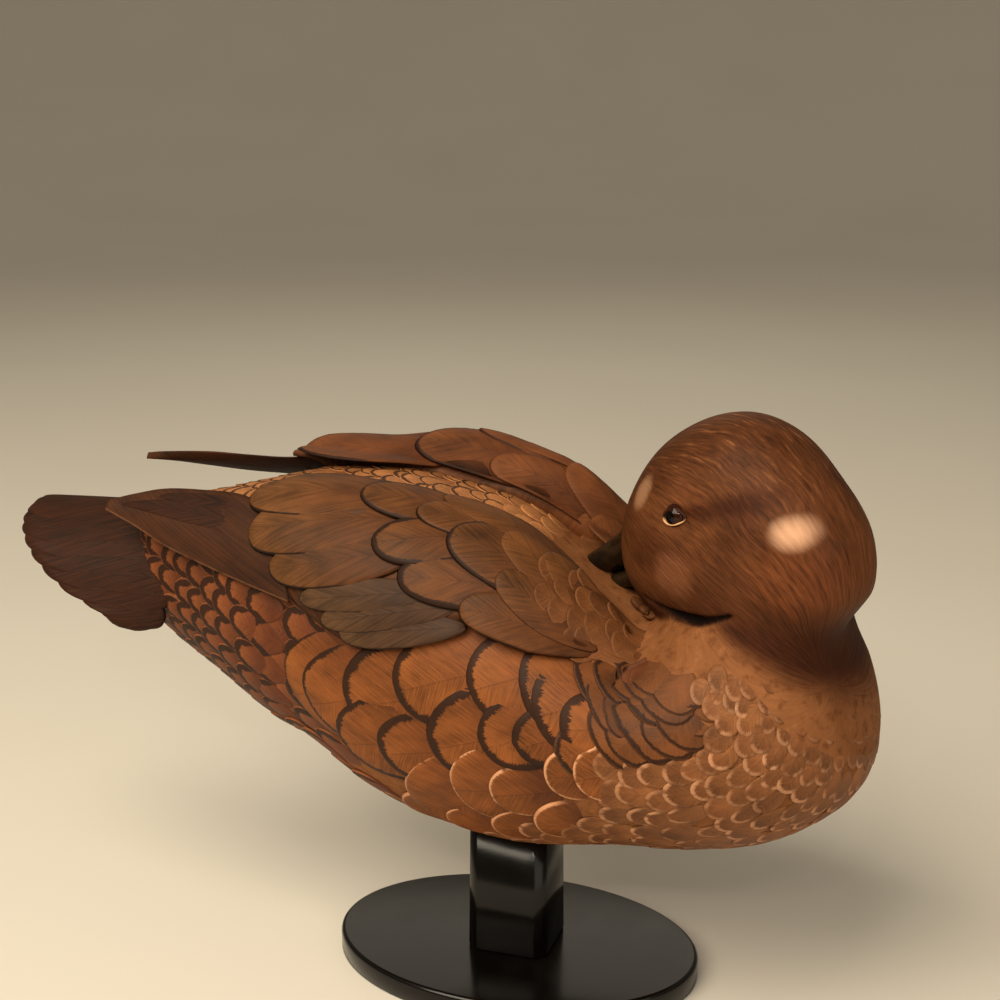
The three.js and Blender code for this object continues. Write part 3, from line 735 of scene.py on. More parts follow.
def head_paint():
    """The skin's paint: reddish brown strokes that run from the bill over the head to the neck.

    They follow the planes through a line from the bill's root to the nape. The ear spot and the patch
    before the eye are soft ellipses, and a dark line runs back from the eye. Some light is painted in
    too: shade low on the head and neck, a shadow on the chest under the head, some highlight on the ear
    spot, a sheen on the pale crown strokes, and a near black shadow in the groove under each cheek.
    """
    b = Brush("head_paint", 0.5, 0.01, 0.35, 0.08)
    ahead, left, up = b.attribute("head_place")
    head, neck, crease = b.attribute("region")
    side = b.math("ABSOLUTE", left)
    axis = np.radians(32)
    cosine, sine = float(np.cos(axis)), float(np.sin(axis))
    below = b.plus(up, 22.0)
    forward = b.scaled(below, sine, b.times(ahead, cosine))
    raised = b.scaled(ahead, -sine, b.times(below, cosine))
    spin = b.math("ARCTAN2", left, raised)
    where = b.place()
    drift = b.noise(where, 45.0, 2.0)
    around = b.scaled(drift, 0.1, spin)
    stroke = b.noise(b.vector(b.times(forward, 0.09), b.times(around, 38.0), 0.0), 1.0, 3.0, 0.6)
    fine = b.noise(b.vector(b.times(forward, 0.2), b.times(around, 90.0), 3.0), 1.0, 2.0, 0.6)
    broad = b.noise(where, 38.0, 3.0)

    def near(a, u, wide, high):
        """The square of the distance from a place on the head's side, in units of the two reaches."""
        off_a = b.over(b.minus(ahead, a), wide)
        off_u = b.over(b.minus(up, u), high)
        return b.plus(b.square(off_a), b.square(off_u))

    colour = b.mix(b.step(broad, 0.35, 0.65), srgb(69, 37, 18), srgb(89, 51, 27))
    colour = b.mix(b.step(up, 20.0, 40.0), colour, srgb(72, 39, 18))
    colour = b.mix(b.step(near(26.0, 26.0, 16.0, 14.0), 0.2, 1.2, 0.75, 0.0), colour, srgb(61, 31, 12))
    colour = b.mix(b.step(near(-36.0, -6.0, 16.0, 14.0), 0.2, 1.3, 0.5, 0.0), colour, srgb(98, 52, 26))
    line = b.minus(up, b.scaled(ahead, -0.3, 13.2))
    line = b.over(line, b.scaled(ahead, -0.1, 4.8))
    line = b.step(b.math("ABSOLUTE", line), 0.1, 1.1, 0.8, 0.0)
    line = b.times(line, b.step(ahead, 6.0, 13.0, 1.0, 0.0))
    line = b.times(line, b.step(ahead, -38.0, -18.0))
    colour = b.mix(line, colour, srgb(50, 20, 6))
    colour = b.mix(b.step(near(8.0, -11.0, 10.0, 10.0), 0.0, 1.3, 0.65, 0.0), colour, srgb(111, 68, 45))
    # Darker low on the head and neck: partly own darker paint, partly painted shade under the head.
    colour = b.mix(b.step(up, -32.0, -14.0, 0.85, 0.0), colour, srgb(50, 22, 9))
    wobble = b.scaled(stroke, 1.3, b.scaled(broad, 0.8, -1.05))
    # The pale ear spot: mostly the hen's own marking, with some painted highlight on it.
    ear = b.step(b.plus(near(-34.4, 10.9, 6.0, 4.8), wobble), -1.2, 2.4, 1.0, 0.0)
    ear = b.times(ear, b.step(side, 10.0, 14.0))
    tilted = b.scaled(b.minus(up, 15.5), 0.3, b.minus(ahead, 27.0))
    lore = b.plus(b.square(b.over(tilted, 4.4)), b.square(b.over(b.minus(up, 14.6), 6.6)))
    lore = b.step(b.plus(lore, wobble), 0.1, 1.4, 0.8, 0.0)
    lore = b.times(lore, b.step(side, 12.0, 18.0))
    chest = b.mix(b.step(broad, 0.3, 0.7), srgb(112, 69, 38), srgb(129, 82, 49))
    mottle = b.noise(where, 230.0, 2.0, 0.6)
    chest = b.mix(b.step(mottle, 0.5, 0.72, 0.0, 0.6), chest, srgb(84, 45, 21))
    chest = b.mix(b.step(mottle, 0.42, 0.3, 0.0, 0.35), chest, srgb(146, 95, 60))
    # Painted shadow under the head, laid on the chest below and behind it.
    edge = b.scaled(b.plus(up, 26.0), -0.52, ahead)
    brink = b.scaled(left, -0.22, up)
    shadow = b.times(b.step(edge, -14.0, -6.0, 1.0, 0.0), b.step(brink, -34.0, -25.0))
    chest = b.mix(b.times(shadow, 0.9), chest, srgb(47, 21, 7))
    own = b.math("MAXIMUM", head, neck)
    colour = b.mix(own, chest, colour)
    depth = b.scaled(own, 0.75, 0.25)
    shade = b.scaled(b.times(b.minus(stroke, 0.5), depth), 2.1, 1.0)
    shade = b.scaled(b.times(b.minus(fine, 0.5), depth), 1.3, shade)
    colour = b.mix(1.0, colour, b.vector(shade, shade, shade), "MULTIPLY")
    # Pale strokes on the crown: partly the paint's own pale hairlines, partly a painted sheen.
    crown_strokes_and_sheen = b.times(b.step(stroke, 0.56, 0.72), b.step(up, 16.0, 34.0, 0.0, 0.5))
    colour = b.mix(crown_strokes_and_sheen, colour, srgb(139, 92, 59))
    colour = b.mix(ear, colour, srgb(216, 168, 134))
    colour = b.mix(lore, colour, srgb(140, 103, 76))
    # The groove under each cheek, painted near black: painted shadow in the gap under the chin.
    colour = b.mix(b.times(crease, 0.97), colour, srgb(10, 4, 3))
    height = b.times(b.scaled(stroke, 0.7, b.times(fine, 0.5)), depth)
    rough = b.scaled(broad, 0.2, b.step(up, -34.0, -18.0, 0.7, 0.46))
    return b.finish(colour, height, 0.6, 0.0003, rough)


def horn_paint():
    """The bill: black-olive and glossy, in darker and lighter patches."""
    b = Brush("bill_horn", 0.36, 0.1, 0.12, 0.22)
    patch = b.noise(b.place(), 160.0, 3.0)
    colour = b.mix(b.step(patch, 0.35, 0.65), srgb(17, 10, 5), srgb(37, 25, 12))
    return b.finish(colour, patch, 0.2, 0.0003, b.scaled(patch, 0.2, 0.18))


def glass_paint():
    """Dark brown glass with a blacker pupil, which faces out from the head on both sides."""
    b = Brush("eye_glass", 0.03)
    ahead, _, up = b.attribute("head_place")
    off = b.plus(b.square(b.minus(ahead, EYE_PLACE + 0.6)), b.square(b.minus(up, EYE_UP)))
    off = b.math("SQRT", off)
    colour = b.mix(b.step(off, 2.0, 2.5), srgb(4, 2, 1), srgb(38, 13, 6))
    return b.finish(colour)


def lid_paint():
    """The eyelid: dark brown, with a pale line along its lower rim."""
    b = Brush("eyelid_paint", 0.55, 0.0, 0.2, 0.12)
    ahead, _, up = b.attribute("head_place")
    line = b.scaled(b.minus(ahead, EYE_PLACE), -0.12, EYE_UP)
    low = b.step(b.minus(up, line), -1.6, 0.2, 0.95, 0.0)
    mottle = b.noise(b.place(), 900.0, 2.0)
    colour = b.mix(b.step(mottle, 0.3, 0.7), srgb(44, 20, 9), srgb(58, 28, 13))
    return b.finish(b.mix(low, colour, srgb(205, 158, 112)), mottle, 0.2, 0.0002)


def lacquer_paint():
    """Gloss black lacquer with faint wear and dust."""
    b = Brush("stand_lacquer", 0.3, 0.06, 0.1, 0.25)
    dust = b.noise(b.place(), 55.0, 4.0)
    colour = b.mix(b.step(dust, 0.45, 0.75), srgb(7, 5, 4), srgb(14, 10, 8))
    return b.finish(colour, b.noise(b.place(), 900.0, 2.0), 0.05, 0.0002, b.scaled(dust, 0.2, 0.08))


# ---------------------------------------------------------------- the skin

SKIN_DEPTH = 1.1  # how far the skin lies under the tips of the feathers
FLANK_DEPTH = 1.1  # and how much further under the large feathers of the flank
VOXEL = 1.3


def neighbour_mean(points, edges):
    """The mean of each point's neighbours along the edges."""
    degree = np.maximum(np.bincount(edges.ravel(), minlength=len(points)), 1)
    total = np.zeros_like(points)
    for axis in range(3):
        total[:, axis] += np.bincount(edges[:, 0], points[edges[:, 1], axis], len(points))
        total[:, axis] += np.bincount(edges[:, 1], points[edges[:, 0], axis], len(points))
    return total / degree[:, None]


def smoothed(points, edges, rounds):
    """Each round moves every point halfway to the mean of its neighbours."""
    for _ in range(rounds):
        points = points * 0.5 + 0.5 * neighbour_mean(points, edges)
    return points


def head_rings(count, around):
    """Rings of the head from back to front, crowded towards both ends."""
    first, last = HEAD_ROWS[0, 0], HEAD_ROWS[-1, 0]
    ahead = (first + last) / 2 - (last - first) / 2 * np.cos(np.linspace(0, np.pi, count))[:, None]
    spin = np.linspace(0, 2 * np.pi, around, endpoint=False)
    crown, throat, half = (at(HEAD_ROWS, ahead, column) for column in (1, 2, 3))
    left = half * fuller(np.sin(spin), HEAD_FULLNESS)
    up = (crown + throat) / 2 + (crown - throat) / 2 * fuller(np.cos(spin), HEAD_FULLNESS)
    return in_head(*head_relief(ahead - swept(left), left, up))


def head_relief(ahead, left, up):
    """The carver's hollows round the eye, before it and behind it; the cheek and back of the head swell."""
    def dent(a, u, wide, high, depth):
        """A bell round the place (a, u), as deep as depth in its middle."""
        return depth * np.exp(-(((ahead - a) / wide) ** 2) - ((up - u) / high) ** 2)
    inward = dent(EYE_PLACE, EYE_UP, 8, 6, 0.9) + dent(24, 3, 6, 8, 0.7) + dent(-10, 17, 16, 5, 0.5)
    inward = inward - dent(5, -10, 13, 10, 0.9) - dent(-33, 9, 13, 10, 0.5)
    share = np.clip(np.abs(left) / 20, 0, 1)
    return ahead, left - np.sign(left) * inward * share, up


CREASE_DEPTH = 2.4
# Places ahead, left and up along the deep shadow line under each cheek.
CREASE = np.array([[26, 21.5, -24.5], [12, 23.5, -27.2], [-1, 25, -26.4], [-15, 26.5, -21.5]])


def crease_depth(points):
    """1 on the line under each cheek, falling to 0 a few millimetres away: widest at the line's middle."""
    ahead, left, up = from_head(points)
    share = np.linspace(0, 1, 32)
    offset = np.stack([ahead, np.abs(left), up], -1)[:, None] - curve(CREASE, share)
    away = np.sqrt(offset[..., 0] ** 2 + offset[..., 1] ** 2 + 3.0 * offset[..., 2] ** 2)
    away = (away / (0.3 + 0.8 * np.sin(np.pi * share))).min(1)
    return 1 - smooth(away, 1.2, 4.4)


def facing(points, quads):
    """Unit normals of the points, from the faces round them."""
    a, b, c, d = (points[quads[:, k]] for k in range(4))
    across = np.cross(c - a, d - b)
    total = np.zeros_like(points)
    for k in range(4):
        for axis in range(3):
            total[:, axis] += np.bincount(quads[:, k], across[:, axis], len(points))
    return unit(total)


def blended(points, edges, rounds):
    """Smooths the hollow where the back of the head meets the neck, so that one flows into the other."""
    ahead, _, up = from_head(points)
    weight = (1 - smooth(ahead, -12, 2)) * (1 - smooth(np.abs(up + 33), 10, 20))
    weight = weight * smooth(points[:, 0], 70, 84)
    near = edges[weight[edges].max(1) > 0]
    for _ in range(rounds):
        points = points + weight[:, None] * (neighbour_mean(points, near) - points)
    return points


def build_skin():
    """The trunk, neck and head as one skin: two closed forms joined by a voxel remesh, then smoothed."""
    s = np.linspace(0, BODY_END, 165)[:, None]
    psi = np.linspace(0, 360, 110, endpoint=False)[None]
    signed = half_turn(psi)
    flank = smooth(np.abs(signed), 36, 56) * (1 - smooth(np.abs(signed), 122, 140)) * smooth(s, 108, 124)
    depth = SKIN_DEPTH * smooth(s, 36, 52) + FLANK_DEPTH * flank * (1 - smooth(s, 234, 254))
    right, left = (mantle_height(rows, s, signed) for rows in (WING_RIGHT_ROWS, WING_LEFT_ROWS))
    rise = np.minimum(np.where(signed < 0, right, left), 5) * (1 - smooth(s, 114, 124))
    forms = [facing_out(*tube(on_body(s, psi, rise - depth))), facing_out(*tube(head_rings(64, 80)))]
    rough = bpy.data.meshes.new("rough_skin")
    points = np.concatenate([form[0] for form in forms])
    faces = [face for group in forms[0][1] for face in group.tolist()]
    faces += [face for group in forms[1][1] for face in (group + len(forms[0][0])).tolist()]
    rough.from_pydata((points * MM).tolist(), [], faces)
    block = bpy.data.objects.new("rough_skin", rough)
    bpy.context.scene.collection.objects.link(block)
    remesh = block.modifiers.new("remesh", "REMESH")
    remesh.mode = "VOXEL"
    remesh.voxel_size = VOXEL * MM
    graph = bpy.context.evaluated_depsgraph_get()
    cast = bpy.data.meshes.new_from_object(block.evaluated_get(graph))
    bpy.data.objects.remove(block)
    co = np.zeros(len(cast.vertices) * 3, np.float32)
    cast.vertices.foreach_get("co", co)
    edges = np.zeros(len(cast.edges) * 2, np.int32)
    cast.edges.foreach_get("vertices", edges)
    quads = np.zeros(len(cast.loops), np.int32)
    cast.loops.foreach_get("vertex_index", quads)
    points = smoothed(co.reshape(-1, 3).astype(float) / MM, edges.reshape(-1, 2), 5)
    points = blended(points, edges.reshape(-1, 2), 90)
    crease = crease_depth(points)
    points = points - facing(points, quads.reshape(-1, 4)) * crease[:, None] * CREASE_DEPTH
    ahead, left, up = from_head(points)
    crown, throat, half = (at(HEAD_ROWS, ahead + swept(left), column) for column in (1, 2, 3))
    round_head = (left / half) ** 2 + ((up - (crown + throat) / 2) / ((crown - throat) / 2)) ** 2
    beyond = np.maximum(ahead + swept(left) - HEAD_ROWS[-1, 0], HEAD_ROWS[0, 0] - ahead - swept(left))
    head = (1 - smooth(round_head, 1.03, 1.16)) * (1 - smooth(beyond, 1, 4))
    fan = np.degrees(np.arctan2(points[:, 2] - HINGE_Z, points[:, 0] - HINGE_X))
    neck = smooth(fan, -34, -24) * smooth(points[:, 0], 78, 92)
    # The region's last part, crease, deepens the groove under each cheek and sets the painted shadow in it.
    attributes = {
        "head_place": np.stack([ahead, left, up], -1),
        "region": np.stack([head, neck, crease], -1),
    }
    return make_piece("skin", points, [quads.reshape(-1, 4)], head_paint(), "head_paint",
                      ("trunk", "neck", "head"), attributes)


build_skin()

# ---------------------------------------------------------------- small feathers of the body


def inside(s, psi, loop):
    """Whether each place lies inside the loop of (s, psi) corners, by counting crossings."""
    within = np.zeros(np.shape(s), bool)
    for (s1, q1), (s2, q2) in zip(loop, loop[1:] + loop[:1]):
        crosses = (q1 > psi) != (q2 > psi)
        cut = s1 + (psi - q1) / (q2 - q1 + 1e-12) * (s2 - s1)
        within ^= crosses & (s < cut)
    return within


def rows_of(starts, spacing):
    """Feather places in staggered rows: one row at each s, its feathers spacing(s) apart round the body."""
    fine = np.linspace(-180, 180, 721)
    places = []
    for k, s in enumerate(starts):
        ring = body(np.full_like(fine, s), fine)
        run = np.concatenate([[0], np.cumsum(np.linalg.norm(np.diff(ring, axis=0), axis=1))])
        count = max(int(round(run[-1] / spacing(s))), 3)
        where = (np.arange(count) + 0.5 * (k % 2)) * run[-1] / count
        psi = np.interp(where, run, fine)
        places.append(np.stack([np.full(count, s), psi, np.full(count, run[-1] / count)], -1))
    return np.concatenate(places)


FLANK_LOOP = [(108, 60), (104, 90), (108, 112), (122, 137), (160, 128), (192, 116), (202, 104), (214, 97),
              (224, 90), (224, 72), (214, 52), (196, 42), (150, 45)]
SHOULDER_LOOP = [(62, 98), (84, 94), (104, 94), (112, 104), (118, 130), (110, 142), (97, 147), (84, 140),
                 (76, 132), (67, 116)]
BARE_LOOP = [(30, 60), (38, 62), (42, 82), (46, 98), (54, 109), (64, 121), (76, 134), (86, 143), (98, 149),
             (112, 151), (138, 158), (138, 180), (30, 180)]
RUMP_START, BACK_START, BACK_EDGE = 198.0, 120.0, 146


def build_breast_and_rump():
    """Feathers in rows from the neck to the tail, each row's pace and spacing read off by its s.

    Each place belongs to the breast or the rump, or is left to the flank, the shoulder, the back or the
    bare strip beside the neck. A breast feather is at most as long as its s allows, and its pale rim fades
    in behind the neck. The rump's feathers sink where the flank's long feathers lie over them.
    """
    known = [40, 60, 110, 200, 240, 320]
    starts = [40.0]
    while starts[-1] < 318:
        starts.append(starts[-1] + np.interp(starts[-1], known, [4.2, 4.7, 7.6, 12, 8.6, 6.5]))
    s, psi, spacing = rows_of(starts, lambda s: np.interp(s, known, [7, 8, 12, 17, 13, 9])).T
    chance = np.random.default_rng(SEED)
    psi = psi + chance.normal(0, 1.2, len(psi))
    s = s + chance.normal(0, 0.8, len(s))
    turned = np.abs(half_turn(psi))
    step = np.interp(s, starts, np.gradient(starts)) * pace(on_body, s, psi)[0]
    flank = inside(s, turned, FLANK_LOOP)
    other = inside(s, turned, SHOULDER_LOOP) | inside(s, turned, BARE_LOOP) | ((turned > 112) & (s < 122))
    back = (turned > BACK_EDGE) & (s > BACK_START)
    rump = (s > RUMP_START) & ~back & ~flank
    breast = ~(flank | other | back | rump)

    s_breast, count = s[breast], breast.sum()
    length = np.minimum(step[breast] * 2.1, np.interp(s_breast, [40, 70, 110], [11, 15, 24]))
    fade = smooth(s_breast, 42, 58) * (0.3 + 0.8 * chance.random(count))
    fade = fade * (1 - 0.6 * smooth(turned[breast], 86, 108))
    edge = 1 - smooth(s_breast, 44, 62)
    width = spacing[breast] * (0.9 + 0.5 * chance.random(count))
    turn, shade = chance.normal(0, 6, count), chance.normal(0, 0.05, count)
    feathers = vanes(on_body, s_breast - 0.2 * length, psi[breast], length, width, turn,
                     high=-0.4 - 0.5 * edge, low=-0.9 - 1.7 * edge, crown=0.1, drop=0.35,
                     band=0.25, rim=fade, shade=shade, sides=18, seed=1)
    coat("breast_coat", [feathers], breast_paint, "body_paint")

    s_rump = s[rump]
    sunk = (1 - smooth(s_rump, 236, 252)) * smooth(turned[rump], 40, 56)
    sunk = sunk * (1 - smooth(turned[rump], 112, 128))
    length = np.clip(step[rump] * 2.1, 5, 40)
    feathers = vanes(on_body, s_rump - 0.2 * length, psi[rump], length, spacing[rump] * 1.2,
                     low=-1.3 - 1.2 * sunk, high=-0.1 - 1.4 * sunk, band=1.0, rim=0.5,
                     sides=18, tip=2.0, seed=3)
    coat("rump_coat", [feathers], rump_paint, "body_paint")


build_breast_and_rump()


def build_back():
    """Small feathers between the wings, each with a dark mark near its tip."""
    s, psi, _ = rows_of(np.arange(124.0, 318.0, 6.6), lambda s: 9.0).T
    jitter = np.random.default_rng(SEED + 30)
    psi = psi + jitter.normal(0, 1.5, len(psi))
    turned = np.abs(half_turn(psi))
    chosen = (turned > BACK_EDGE) & ~inside(s, turned, BARE_LOOP)
    count = chosen.sum()
    s, psi = s[chosen] + jitter.normal(0, 0.8, count), psi[chosen]
    marks = smooth(s, 150, 168) * (0.4 + 0.5 * jitter.random(count))
    width = 10 + 2 * jitter.random(count)
    turn, shade = jitter.normal(0, 8, count), jitter.normal(0, 0.08, count)
    feathers = vanes(on_body, s - 2, psi, 14.0, width, turn, high=-0.3, low=-1.3, crown=0.1, drop=0.4,
                     band=marks, rim=0.4, shade=shade, sides=18, seed=4)
    coat("back_coat", [feathers], back_paint, "body_paint")


build_back()


def build_shoulders():
    """Ripples down each shoulder: broad, short feathers in four oblique rows, with a dark lower edge."""
    row, k = np.meshgrid(np.arange(4), np.arange(-2, 14), indexing="ij")
    s = 111 - 6.6 * k - 3.3 * (row % 2) - 1.5 * row
    psi = 139 - 13 * row + 0.4 * k
    chosen = inside(s, psi, SHOULDER_LOOP)
    s, psi = s[chosen], psi[chosen]
    jitter = np.random.default_rng(SEED + 50)
    s, psi = s + jitter.normal(0, 0.7, len(s)), psi + jitter.normal(0, 1.5, len(s))
    length = 14 + 3 * jitter.random(len(s))
    width = (20 + 6 * jitter.random(len(s))) * (0.7 + 0.3 * smooth(s, 60, 84))
    band = (0.45 + 0.6 * jitter.random(len(s))) * smooth(s, 52, 84)
    shade = jitter.normal(0, 0.1, len(s))
    under = 1 - smooth(np.interp(s, [54, 64, 74, 84, 97, 110], [100, 119, 131, 140, 147, 144]) - psi, 2, 16)
    under = np.maximum(under, 1 - smooth(s, 64, 78))
    high = -0.1 - 0.7 * under
    sets = [vanes(on_body, s - 4, side * (psi + 3), length, width, -38 * side + jitter.normal(0, 4, len(s)),
                  high=high, low=-1.5 - 1.6 * under, crown=0.3, drop=0.4, band=band, rim=0.4,
                  shade=shade, sides=24, tip=2.5, seed=52 + side) for side in (-1, 1)]
    tuft_s, tuft_psi = np.array([(104, 170), (100, 168), (96, 166)], float).T
    sets += [vanes(on_body, tuft_s, side * tuft_psi, 9, 6.5, [-10 * side, -35 * side, -20 * side],
                   high=1.8, low=-0.6, crown=1.8, drop=1.2, band=0.0, rim=0.0, shade=-0.1, sides=20, seed=60)
             for side in (-1, 1)]
    coat("shoulder_coat", sets, shoulder_paint, "body_paint")


build_shoulders()

# ---------------------------------------------------------------- flank feathers

# Rows of s and psi of the middle, length, width, lean to the belly, dark band, pale rim, height.
FLANK_FEATHERS = np.array([
    [206, 87, 62, 42, 33, 0.45, 0, -1.1],
    [197, 88, 64, 38, 33, 0.75, 0, -0.95],
    [170, 96, 76, 45, 26, 1.2, 0, -0.85],
    [148, 110, 79, 38, 28, 1.2, 0, -0.8],
    [130, 117, 57, 33, 33, 1.0, 0, -0.8],
    [110, 124, 59, 40, 29, 1.1, 0, -0.8],
    [108, 116, 50, 35, 30, 1.2, 0, -0.7],
    [102, 106, 36, 28, 16, 1.0, 0, -0.5],
    [173, 82, 83, 39, 29, 0.9, 0, -0.3],
    [168, 78, 48, 32, 22, 1.1, 0, -0.2],
    [142, 89, 57, 38, 24, 1.1, 0, -0.3],
    [129, 95, 45, 29, 36, 1.0, 0, -0.3],
    [121, 94, 32, 23, 26, 0.9, 0, -0.2],
    [106, 93, 30, 24, 22, 0.8, 0.1, -0.2],
    [152, 61, 64, 49, 32, 0.2, 0.9, 0.1],
    [138, 71, 47, 38, 15, 0.3, 0.9, 0.1],
    [130, 71, 32, 25, 14, 0.3, 1, 0.15],
    [111, 82, 27, 22, 11, 0.1, 1, 0.1],
    [98, 85, 32, 25, 17, 0, 1, 0.1],
    [166, 44, 44, 34, 12, 0, 0.8, 0.1],
    [149, 45, 40, 32, 10, 0, 1, 0.15],
    [132, 50, 34, 28, 10, 0, 1, 0.15],
    [115, 57, 32, 27, 8, 0, 1, 0.15],
])


def build_flanks():
    """The large feathers along both flanks, one by one, the left ones mirrored from the right."""
    s, psi, length, width, lean, band, rim, high = FLANK_FEATHERS.T
    sets = [vanes(on_body, s, side * psi, length, width, -side * lean, high=high, low=high.min() - 1.1,
                  crown=0.3, drop=0.8, sides=40, band=band, rim=rim, taper=0.2, seed=10 + side)
            for side in (-1, 1)]
    coat("flank_coat", sets, flank_paint, "body_paint")


build_flanks()

# ---------------------------------------------------------------- wings

MANTLE_LOOP = [(96, 143), (100, 155), (110, 160), (122, 161), (132, 157), (138, 148), (134, 137), (124, 132),
               (112, 137), (103, 142)]


def mantle_feathers(side, rows):
    """Small soft feathers over the front end of a wing, where it runs out into the shoulder."""
    row, k = np.meshgrid(np.arange(10), np.arange(6), indexing="ij")
    s, psi = 90 + 6.3 * row, 124 + 7.4 * k + 3.7 * (row % 2)
    chosen = inside(s, psi, MANTLE_LOOP)
    s, psi = s[chosen], psi[chosen]
    jitter = np.random.default_rng(SEED + 70)
    s, psi = s + jitter.normal(0, 1.0, len(s)), psi + jitter.normal(0, 1.0, len(s))
    high = -0.8 + 0.8 * smooth(s, 97, 106) + 0.8 * smooth(s, 110, 120)
    length, width = 14 + 3 * jitter.random(len(s)), 10 + 3 * jitter.random(len(s))
    turn = jitter.normal(-10, 6, len(s)) * side
    rim, shade = 0.15 + 0.35 * jitter.random(len(s)), jitter.normal(0.04, 0.07, len(s))
    return vanes(over_body(mantle_height, rows), s - 2, side * psi, length, width, turn, high=high,
                 low=high - 1.6, crown=0.15, drop=0.25, band=0.0, rim=rim, shade=shade, sides=24, seed=71)


def mantle_form(rows, side):
    """The solid ground of the mantle: it fills the step between the wing's front end and the trunk."""
    s = np.linspace(86, 134, 48)[:, None]
    share = np.linspace(0, 1, 28)[None]
    psi = side * (at(rows, s, 1) - 8 + (at(rows, s, 2) - at(rows, s, 1) + 16) * share)
    border = smooth(share, 0, 0.14) * (1 - smooth(share, 0.86, 1))
    border = border * smooth(s, 86, 98) * (1 - smooth(s, 124, 134))
    level = 0 * psi
    outer = over_body(mantle_height, rows)(s + level, psi, -0.75 - 2.6 * (1 - border))
    inner = on_body(s + level, psi, -6.0 + level)
    points, polygons = facing_out(*tube(np.concatenate([outer, inner[:, ::-1]], 1)))
    across = np.concatenate([share, share[:, ::-1]], 1) * 50 + 0 * s
    return points, polygons, painted(
        across.shape, vane=[(5 + 0.3 * (s - 86), 15), (across, 25), (25, 25)],
        dye=[(0.5, 0.5), (s, 0), (60, 60)], tone=[(0, 0), (0, 0), (0, 0)],
    )


def wing_shell(rows, place, side, free):
    """The carved wing under its feathers: an outer face, and an inner one that runs under the skin."""
    s = np.linspace(rows[0, 0], rows[-1, 0], 60)[:, None]
    share = np.linspace(0, 1, 25)[None]
    psi = side * (at(rows, s, 1) + (at(rows, s, 2) - at(rows, s, 1)) * share)
    under = 1 - smooth(s, 106, 126)
    sunk = 2.4 * smooth(s, 140, 180) + 5.5 * under + 0.8 * (1 - free) * smooth(share, 0.5, 0)
    outer = place(s + 0 * share, psi, -0.9 - sunk + 0 * psi)
    height = wing_height(rows, s + 0 * share, psi)
    loose = smooth(s, OVERHANG_FROM, OVERHANG_TO) * free + 0 * psi
    inner = on_body(s + 0 * share, psi, (height - 4.5) * loose - (3.0 + 4.0 * under) * (1 - loose))
    points, polygons = facing_out(*tube(np.concatenate([outer, inner[:, ::-1]], 1)))
    across = np.concatenate([share, share[:, ::-1]], 1) * 55 + 0 * s
    edge = np.minimum(across, 55 - across)
    shade = -0.4 * (1 - smooth(edge, 0, 6)) * smooth(s, 130, 160)
    return points, polygons, painted(
        across.shape, vane=[(5 + 0.3 * (s - 90), 20), (across, 25), (edge, 0)],
        dye=[(0.5, 0.5), (s, 0), (60, 60)], tone=[(0, 0), (0, 0), (shade, 0)],
    )


def quills(place, side, rows, **choices):
    """Vanes from rows of p and q of the tip, p and q of the root, width, lift, dark band, pale rim."""
    tip_p, tip_q, root_p, root_q, width, high, band, rim = np.array(rows, float).T
    p, q = (tip_p + root_p) / 2, side * (tip_q + root_q) / 2
    per_p, per_q = pace(place, p, q)
    along, across = (tip_p - root_p) * per_p, side * (tip_q - root_q) * per_q
    return vanes(place, p, q, np.hypot(along, across), width, np.degrees(np.arctan2(across, along)),
                 high=high, band=band, rim=rim, **choices)


TERTIALS = [
    [256, 149, 190, 154, 29, 0.0, 1.0, 0.0],
    [250, 130, 186, 147, 27, -0.6, 1.0, 0.0],
    [236, 118, 180, 137, 20, -1.1, 0.8, 0.0],
]
SECONDARIES = [
    [222, 112, 165, 129, 12, -1.6, 0.6, 0.0],
    [212, 108, 160, 126, 12, -2.0, 0.6, 0.0],
    [204, 106, 156, 121, 12, -2.4, 0.6, 0.0],
]
COVERTS = [
    [207, 152, 158, 158, 23, 0.3, 0.9, 0.0],
    [183, 128, 138, 138, 20, -0.3, 1.7, 0.0],
    [195, 135, 152, 151, 22, 0.1, 1.5, 0.0],
    [160, 125, 112, 136, 18, -0.1, 0.3, 0.1],
    [168, 145, 122, 147, 28, 0.5, 1.0, 0.0],
    [184, 150, 140, 156, 18, 0.6, 0.5, 0.0],
]
SCAPULARS = [
    [174, 160, 116, 154, 17, 0.4, 0.1, 0.1],
    [156, 152, 112, 146, 20, 0.5, 0.0, 0.1],
    [150, 138, 112, 138, 18, 0.3, 0.05, 0.1],
    [140, 154, 110, 150, 17, 0.6, 0.0, 0.1],
]
# The far wing shows its inner face, over its crest.
INNER_FEATHERS = [
    [252, 170, 190, 169, 30, 0.3, 1.0, 0.0],
    [203, 166, 150, 167, 30, 0.7, 1.0, 0.0],
    [186, 158, 146, 160, 18, 1.0, 0.6, 0.1],
    [172, 169, 132, 168, 20, 0.9, 0.2, 0.2],
    [150, 164, 112, 162, 24, 1.0, 0.0, 0.2],
    [136, 170, 108, 166, 18, 0.7, 0.0, 0.2],
]


